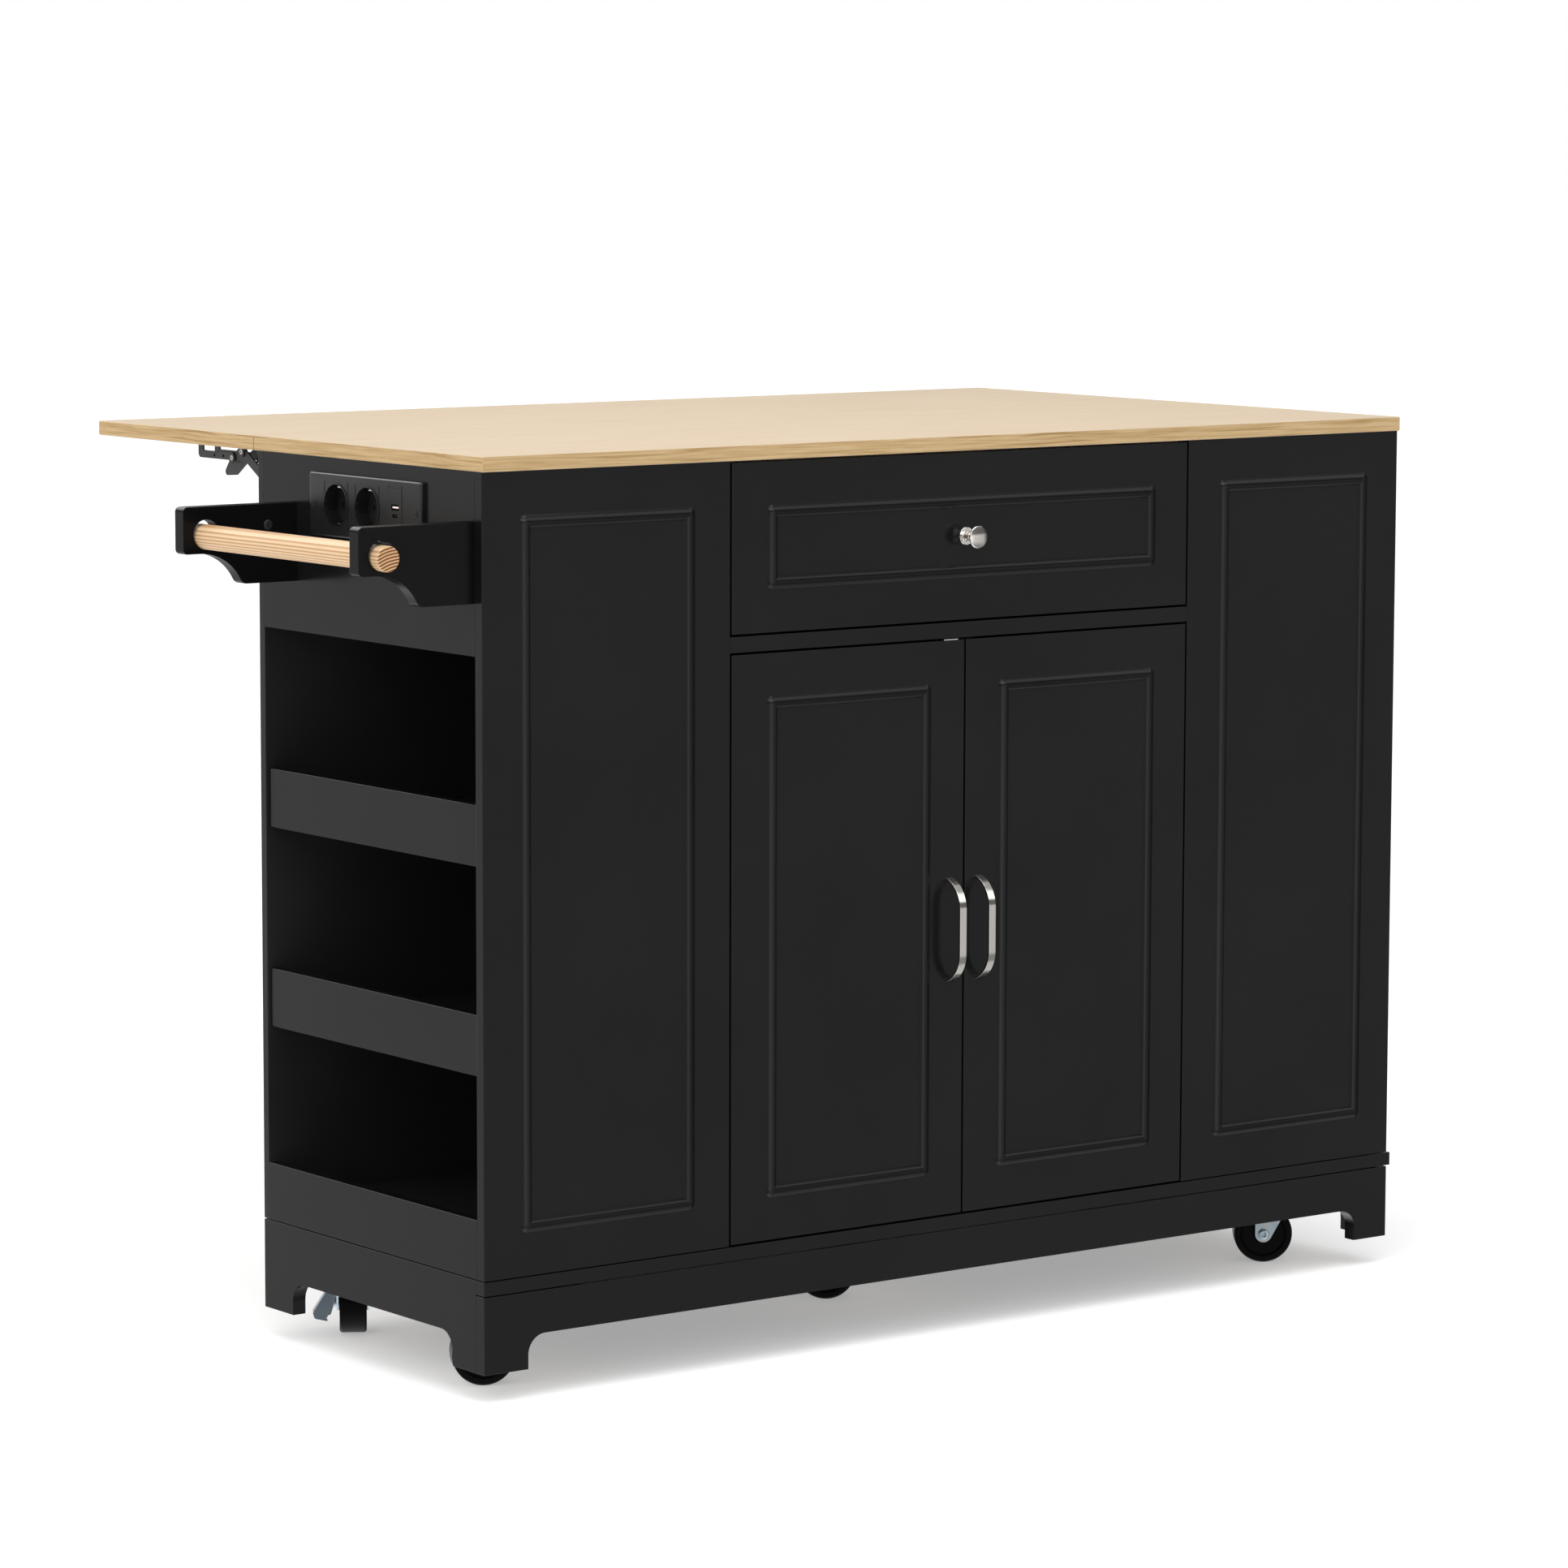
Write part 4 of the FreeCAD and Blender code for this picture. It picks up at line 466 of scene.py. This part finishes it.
def new_piece(name, mesh, body, look):
    """Adds a mesh to the object: it rides on a body and has a material slot and a look."""
    piece = bpy.data.objects.new(name, mesh)
    scene.collection.objects.link(piece)
    piece.data.materials.append(look)
    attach(piece, body)
    return piece


def mesh_from(work, name):
    mesh = bpy.data.meshes.new(name)
    work.to_mesh(mesh)
    work.free()
    return mesh


def bar(work, low, high):
    """A straight bar between two corners."""
    low, high = Vector(low), Vector(high)
    place = Matrix.Translation((low + high) / 2) @ Matrix.Diagonal((*(high - low), 1.0))
    bmesh.ops.create_cube(work, size=1.0, matrix=place)


def eased(work, amount):
    """Rounds every edge a little."""
    bmesh.ops.bevel(work, geom=work.edges[:], offset=amount, segments=2, profile=0.5, affect="EDGES")


def turned_profile(work, profile, centre, outward, steps=32):
    """Turns a profile of (radius, height) pairs round an axis and closes its middle."""
    turn = Vector((0, 0, 1)).rotation_difference(Vector(outward)).to_matrix().to_4x4()
    place = Matrix.Translation(Vector(centre)) @ turn
    angles = [2 * math.pi * n / steps for n in range(steps)]
    rows = []
    for radius, height in profile:
        if radius == 0:
            rows.append([work.verts.new(place @ Vector((0, 0, height)))])
            continue
        rows.append([work.verts.new(place @ Vector((radius * math.cos(a), radius * math.sin(a), height)))
                     for a in angles])
    for first, second in zip(rows, rows[1:]):
        for n in range(steps):
            m = (n + 1) % steps
            corners = [first[n % len(first)], first[m % len(first)],
                       second[m % len(second)], second[n % len(second)]]
            kept = list(dict.fromkeys(corners))
            if len(kept) > 2:
                work.faces.new(kept)


def rectangle_line(work, middle_y, half_width, half_height):
    """A thin raised line round a rectangle on the outlet strip's face."""
    width, proud = 0.00050, 0.00030
    y0, y1 = middle_y - half_width, middle_y + half_width
    z0, z1 = strip_middle_z - half_height, strip_middle_z + half_height
    for low, high in (((y0, z0), (y1, z0 + width)), ((y0, z1 - width), (y1, z1)),
                      ((y0, z0 + width), (y0 + width, z1 - width)),
                      ((y1 - width, z0 + width), (y1, z1 - width))):
        bar(work, (strip_face - proud, *low), (strip_face + proud, *high))


def outlet_face_lines():
    """Lines round each socket and round the block of charging ports."""
    socket_half_width, socket_half_height = 0.0216, 0.0236
    port_half_width, port_half_height = 0.0119, 0.0262
    work = bmesh.new()
    for socket_y in socket_places:
        rectangle_line(work, socket_y, socket_half_width, socket_half_height)
    rectangle_line(work, port_middle_y, port_half_width, port_half_height)
    new_piece("outlet_face_lines", mesh_from(work, "outlet_face_lines"), "cabinet",
              outlet_look)


def socket_guide_ribs():
    """Two ribs at each side of a socket's well; its round wall curves in over their roots."""
    well_radius, rib_proud, rib_root = 0.0210, 0.0011, 0.0001
    rib_height, rib_lift, rib_easing = 0.0026, 0.0042, 0.0002
    rib_start, rib_end = 0.0010, 0.0130
    work = bmesh.new()
    for socket_y in socket_places:
        for direction in (-1, 1):
            outer = socket_y + direction * (well_radius - rib_root)
            inner = socket_y + direction * (well_radius - rib_proud)
            for lift in (-rib_lift, rib_lift):
                middle_z = strip_middle_z + lift
                bar(work, (strip_face + rib_start, min(outer, inner), middle_z - rib_height / 2),
                    (strip_face + rib_end, max(outer, inner), middle_z + rib_height / 2))
    eased(work, rib_easing)
    new_piece("socket_guide_ribs", mesh_from(work, "socket_guide_ribs"), "cabinet",
              outlet_look)


def charging_port_tongue():
    """The tongue in the wider charging port, just inside the strip's face."""
    front, back = 0.0004, 0.0009
    half_width, half_height, lift, easing = 0.0053, 0.00085, 0.0045, 0.0001
    middle_z = strip_middle_z + lift
    work = bmesh.new()
    bar(work, (strip_face + front, port_middle_y - half_width, middle_z - half_height),
        (strip_face + back, port_middle_y + half_width, middle_z + half_height))
    eased(work, easing)
    new_piece("charging_port_tongue", mesh_from(work, "charging_port_tongue"), "cabinet",
              tongue_look)


def cross_screws(name, places, outward, radius, height, body, look):
    """Pan heads with a cross recess, all in one mesh."""
    head_shares = ((0, 0), (1, 0), (1, 0.35), (0.92, 0.68), (0.74, 0.92), (0.5, 1), (0, 1))
    recess_length, recess_width, recess_depth = radius * 1.1, radius * 0.24, height * 1.2
    outward = Vector(outward)
    side = outward.orthogonal().normalized()
    other = outward.cross(side)
    heads, cutters = bmesh.new(), bmesh.new()
    for place in places:
        turned_profile(heads, [(radius * a, height * b) for a, b in head_shares], place, outward)
        for direction, across in ((side, other), (other, side)):
            slot_place = Matrix((direction, across, outward)).transposed().to_4x4()
            slot_place.translation = Vector(place) + outward * height
            slot_size = Matrix.Diagonal((recess_length, recess_width, recess_depth, 1.0))
            bmesh.ops.create_cube(cutters, size=1.0, matrix=slot_place @ slot_size)
    bmesh.ops.recalc_face_normals(heads, faces=heads.faces[:])
    made = bpy.data.objects.new(name + "_raw", mesh_from(heads, name + "_raw"))
    cutter = bpy.data.objects.new(name + "_cutter", mesh_from(cutters, name + "_cutter"))
    for thing in (made, cutter):
        scene.collection.objects.link(thing)
    cut = made.modifiers.new("recess", "BOOLEAN")
    cut.object = cutter
    cut.operation = "DIFFERENCE"
    cut.solver = "EXACT"
    cut.use_self = True
    bpy.context.view_layer.update()
    result = bpy.data.meshes.new_from_object(made.evaluated_get(bpy.context.evaluated_depsgraph_get()))
    for thing in (made, cutter):
        bpy.data.objects.remove(thing)
    result.name = name
    result.materials.clear()
    new_piece(name, result, body, look)


def towel_plate_screws():
    """One screw on the inner face of each of the towel rail's plates."""
    plates_low, plates_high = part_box("towel_brackets")
    plate_thickness, from_wall, below_top = 0.016, 0.0336, 0.0212
    radius, height = 0.0050, 0.0008
    x, z = plates_high.x - from_wall, plates_high.z - below_top
    cross_screws("towel_plate_screws_back", [(x, plates_high.y - plate_thickness, z)], (0, -1, 0),
                 radius, height, "cabinet", steel_look)
    cross_screws("towel_plate_screws_front", [(x, plates_low.y + plate_thickness, z)], (0, 1, 0),
                 radius, height, "cabinet", steel_look)


def bracket_screws():
    """Two screws through each wall arm into the cabinet, and two through each leaf arm into the leaf."""
    sheet_thickness = 0.002
    wall_low, wall_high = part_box("leaf_wall_arms")
    wall_radius, wall_height, wall_screws_below_top = 0.0035, 0.0016, (0.033, 0.006)
    wall_screws_z = [wall_high.z - below_top for below_top in wall_screws_below_top]
    cross_screws("wall_arm_screws", [(x, wall_low.y + sheet_thickness, z) for x in bracket_middles
                                     for z in wall_screws_z],
                 (0, 1, 0), wall_radius, wall_height, "cabinet", plated_look)
    arm_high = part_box("leaf_arms")[1]
    arm_radius, arm_height, arm_screws_from_end = 0.0034, 0.0014, (0.0486, 0.0136)
    arm_screws_y = [arm_high.y - from_end for from_end in arm_screws_from_end]
    cross_screws("leaf_arm_screws", [(x, y, arm_high.z - sheet_thickness) for x in bracket_middles
                                     for y in arm_screws_y],
                 (0, 0, -1), arm_radius, arm_height, "drop_leaf", plated_look)


def turned_knob():
    """The drawer's knob, turned with a grooved foot, a slim neck and a slightly domed face."""
    millimetre, steps, sharp_angle = 0.001, 64, 28.0
    profile = [(9.1, 0.0), (9.1, 1.2), (8.85, 1.5), (8.3, 1.5), (8.0, 0.5), (5.6, 0.5), (5.2, 0.8),
               (4.8, 1.6), (4.6, 2.8), (4.5, 6.0), (4.7, 9.0), (5.2, 11.4), (6.2, 13.6), (7.7, 15.6),
               (9.5, 17.3), (10.8, 18.6), (11.2, 19.2), (11.35, 19.8), (11.35, 20.3), (10.85, 20.8)]
    dome_reach, dome_foot = profile[-1]
    dome_rise, dome_rings = 1.2, 10
    for ring in range(1, dome_rings + 1):
        share = 1.0 - ring / dome_rings
        profile.append((dome_reach * share, dome_foot + dome_rise * (1.0 - share ** 2)))
    low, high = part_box("drawer_knob")
    middle = (low + high) / 2
    work = bmesh.new()
    turned_profile(work, [(radius * millimetre, height * millimetre) for radius, height in profile],
                   (middle.x, high.y, middle.z), (0, -1, 0), steps)
    bmesh.ops.recalc_face_normals(work, faces=work.faces[:])
    mesh = mesh_from(work, "drawer_knob_turned")
    mesh.shade_smooth()
    mesh.set_sharp_from_angle(angle=math.radians(sharp_angle))
    piece = new_piece("drawer_knob_turned", mesh, "drawer", knob_look)
    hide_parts("drawer_knob")


def axle_caps():
    """Domed ends on both sides of each caster's axle."""
    profile = [(0.0057, 0.0), (0.0057, 0.0003), (0.0052, 0.0008), (0.0042, 0.0012), (0.0031, 0.0013),
               (0.0024, 0.0011), (0.0019, 0.0005), (0, 0.0003)]
    axle_half_length = 0.0185
    for joint in joints.values():
        if not joint["name"].endswith("_wheel_spin"):
            continue
        caster_name = joint["name"].removesuffix("_wheel_spin")
        work = bmesh.new()
        for direction in (-1, 1):
            outward = Vector(joint["axis"]) * direction
            turned_profile(work, profile, Vector(joint["pos_m"]) + outward * axle_half_length, outward)
        bmesh.ops.recalc_face_normals(work, faces=work.faces[:])
        name = caster_name + "_axle_caps"
        new_piece(name, mesh_from(work, name), caster_name + "_fork", zinc_look)


outlet_face_lines()
socket_guide_ribs()
charging_port_tongue()
towel_plate_screws()
bracket_screws()
turned_knob()
axle_caps()


# Floor

floor_half, floor_glow, floor_roughness = 30.0, 0.32, 0.8
floor_mesh = bpy.data.meshes.new("studio_floor")
floor_mesh.from_pydata([(-floor_half, -floor_half, 0), (floor_half, -floor_half, 0),
                        (floor_half, floor_half, 0), (-floor_half, floor_half, 0)], [], [(0, 1, 2, 3)])
floor = bpy.data.objects.new("studio_floor", floor_mesh)
floor.visible_glossy = False
scene.collection.objects.link(floor)
floor_look = Surface("studio_white", Specular_IOR_Level=0.1)
floor_look.shader.inputs["Emission Color"].default_value = (1.0, 1.0, 1.0, 1.0)
floor_look.shader.inputs["Emission Strength"].default_value = floor_glow
floor_tone = floor_look.ramp(floor_look.noise(scale=0.6), (0.3, (0.86,) * 3), (0.7, (0.88,) * 3))
floor_mesh.materials.append(floor_look.finish(floor_tone, floor_roughness))


# Light

def softbox(name, size, place, aim, power):
    """A soft rectangular light turned towards a point."""
    data = bpy.data.lights.new(name, "AREA")
    data.shape = "RECTANGLE"
    data.size, data.size_y = size
    data.energy = power
    lamp = bpy.data.objects.new(name, data)
    lamp.location = place
    lamp.rotation_euler = (Vector(aim) - Vector(place)).to_track_quat("-Z", "Y").to_euler()
    scene.collection.objects.link(lamp)


light_aim = (0.0, 0.0, 0.6)
softbox("top_softbox", size=(2.6, 2.2), place=(-0.3, -0.6, 3.0), aim=light_aim, power=42.0)
softbox("left_softbox", size=(2.2, 2.2), place=(-3.4, -0.6, 1.7), aim=light_aim, power=22.0)

world = bpy.data.worlds.new("studio")
world.use_nodes = True
scene.world = world
air = world.node_tree
for old in list(air.nodes):
    air.nodes.remove(old)
out = air.nodes.new("ShaderNodeOutputWorld")
path = air.nodes.new("ShaderNodeLightPath")
sky_place = air.nodes.new("ShaderNodeTexCoord")
sky_parts = air.nodes.new("ShaderNodeSeparateXYZ")
air.links.new(sky_place.outputs["Generated"], sky_parts.inputs[0])


def background(strength):
    """White light of a strength that is a number or worked out by nodes."""
    node = air.nodes.new("ShaderNodeBackground")
    node.inputs["Color"].default_value = (1.0, 1.0, 1.0, 1.0)
    if isinstance(strength, bpy.types.NodeSocket):
        air.links.new(strength, node.inputs["Strength"])
    else:
        node.inputs["Strength"].default_value = strength
    return node.outputs["Background"]


def spread_over(value, low, high, to_low, to_high):
    node = air.nodes.new("ShaderNodeMapRange")
    air.links.new(value, node.inputs["Value"])
    for socket, limit in (("From Min", low), ("From Max", high), ("To Min", to_low), ("To Max", to_high)):
        node.inputs[socket].default_value = limit
    return node.outputs["Result"]


def sky_level(value, stops):
    """A level along one direction: each stop is a place from -1 to 1 and a share of the brightest."""
    node = air.nodes.new("ShaderNodeValToRGB")
    filled_ramp(node, [((stop + 1.0) / 2.0, share) for stop, share in stops])
    air.links.new(spread_over(value, -1.0, 1.0, 0.0, 1.0), node.inputs[0])
    return node.outputs["Color"]


def sky_choice(ray, other_rays, these_rays):
    """Light that is one thing for a kind of ray and another for the rest."""
    node = air.nodes.new("ShaderNodeMixShader")
    air.links.new(path.outputs[ray], node.inputs["Fac"])
    air.links.new(other_rays, node.inputs[1])
    air.links.new(these_rays, node.inputs[2])
    return node.outputs["Shader"]


def times(first, second):
    node = air.nodes.new("ShaderNodeMath")
    node.operation = "MULTIPLY"
    for socket, value in zip(node.inputs, (first, second)):
        if isinstance(value, bpy.types.NodeSocket):
            air.links.new(value, socket)
        else:
            socket.default_value = value
    return node.outputs[0]


# The soft light of the studio, stronger from the front left
bright_side, side_limit, dimmest, brightest = (-0.68, -0.52, 0.30), 0.9, 0.30, 1.25
lean = air.nodes.new("ShaderNodeVectorMath")
lean.operation = "DOT_PRODUCT"
lean.inputs[1].default_value = bright_side
air.links.new(sky_place.outputs["Generated"], lean.inputs[0])
soft_light = background(spread_over(lean.outputs["Value"], -side_limit, side_limit, dimmest, brightest))

# What shiny surfaces mirror: brightest ahead and high up, dark far right and above the horizon
levels_across = ((-1.0, 0.40), (-0.42, 0.40), (-0.28, 0.95), (0.08, 0.95), (0.40, 0.41), (0.60, 0.34),
                 (0.78, 0.30), (0.88, 0.04), (1.0, 0.04))
levels_up = ((-1.0, 0.42), (-0.64, 0.42), (-0.55, 0.18), (-0.34, 0.18), (-0.22, 0.40), (-0.01, 0.42),
             (0.04, 0.09), (0.25, 0.09), (0.31, 0.95), (0.60, 0.95), (0.68, 0.30), (1.0, 0.30))
brightest_across, brightest_up = 1.8, 3.2
across = sky_level(sky_parts.outputs["X"], levels_across)
up = sky_level(sky_parts.outputs["Z"], levels_up)
mirrored = background(times(times(across, up), brightest_across * brightest_up))
seen = background(1.0)
not_seen = sky_choice("Is Glossy Ray", soft_light, mirrored)
air.links.new(sky_choice("Is Camera Ray", not_seen, seen), out.inputs["Surface"])
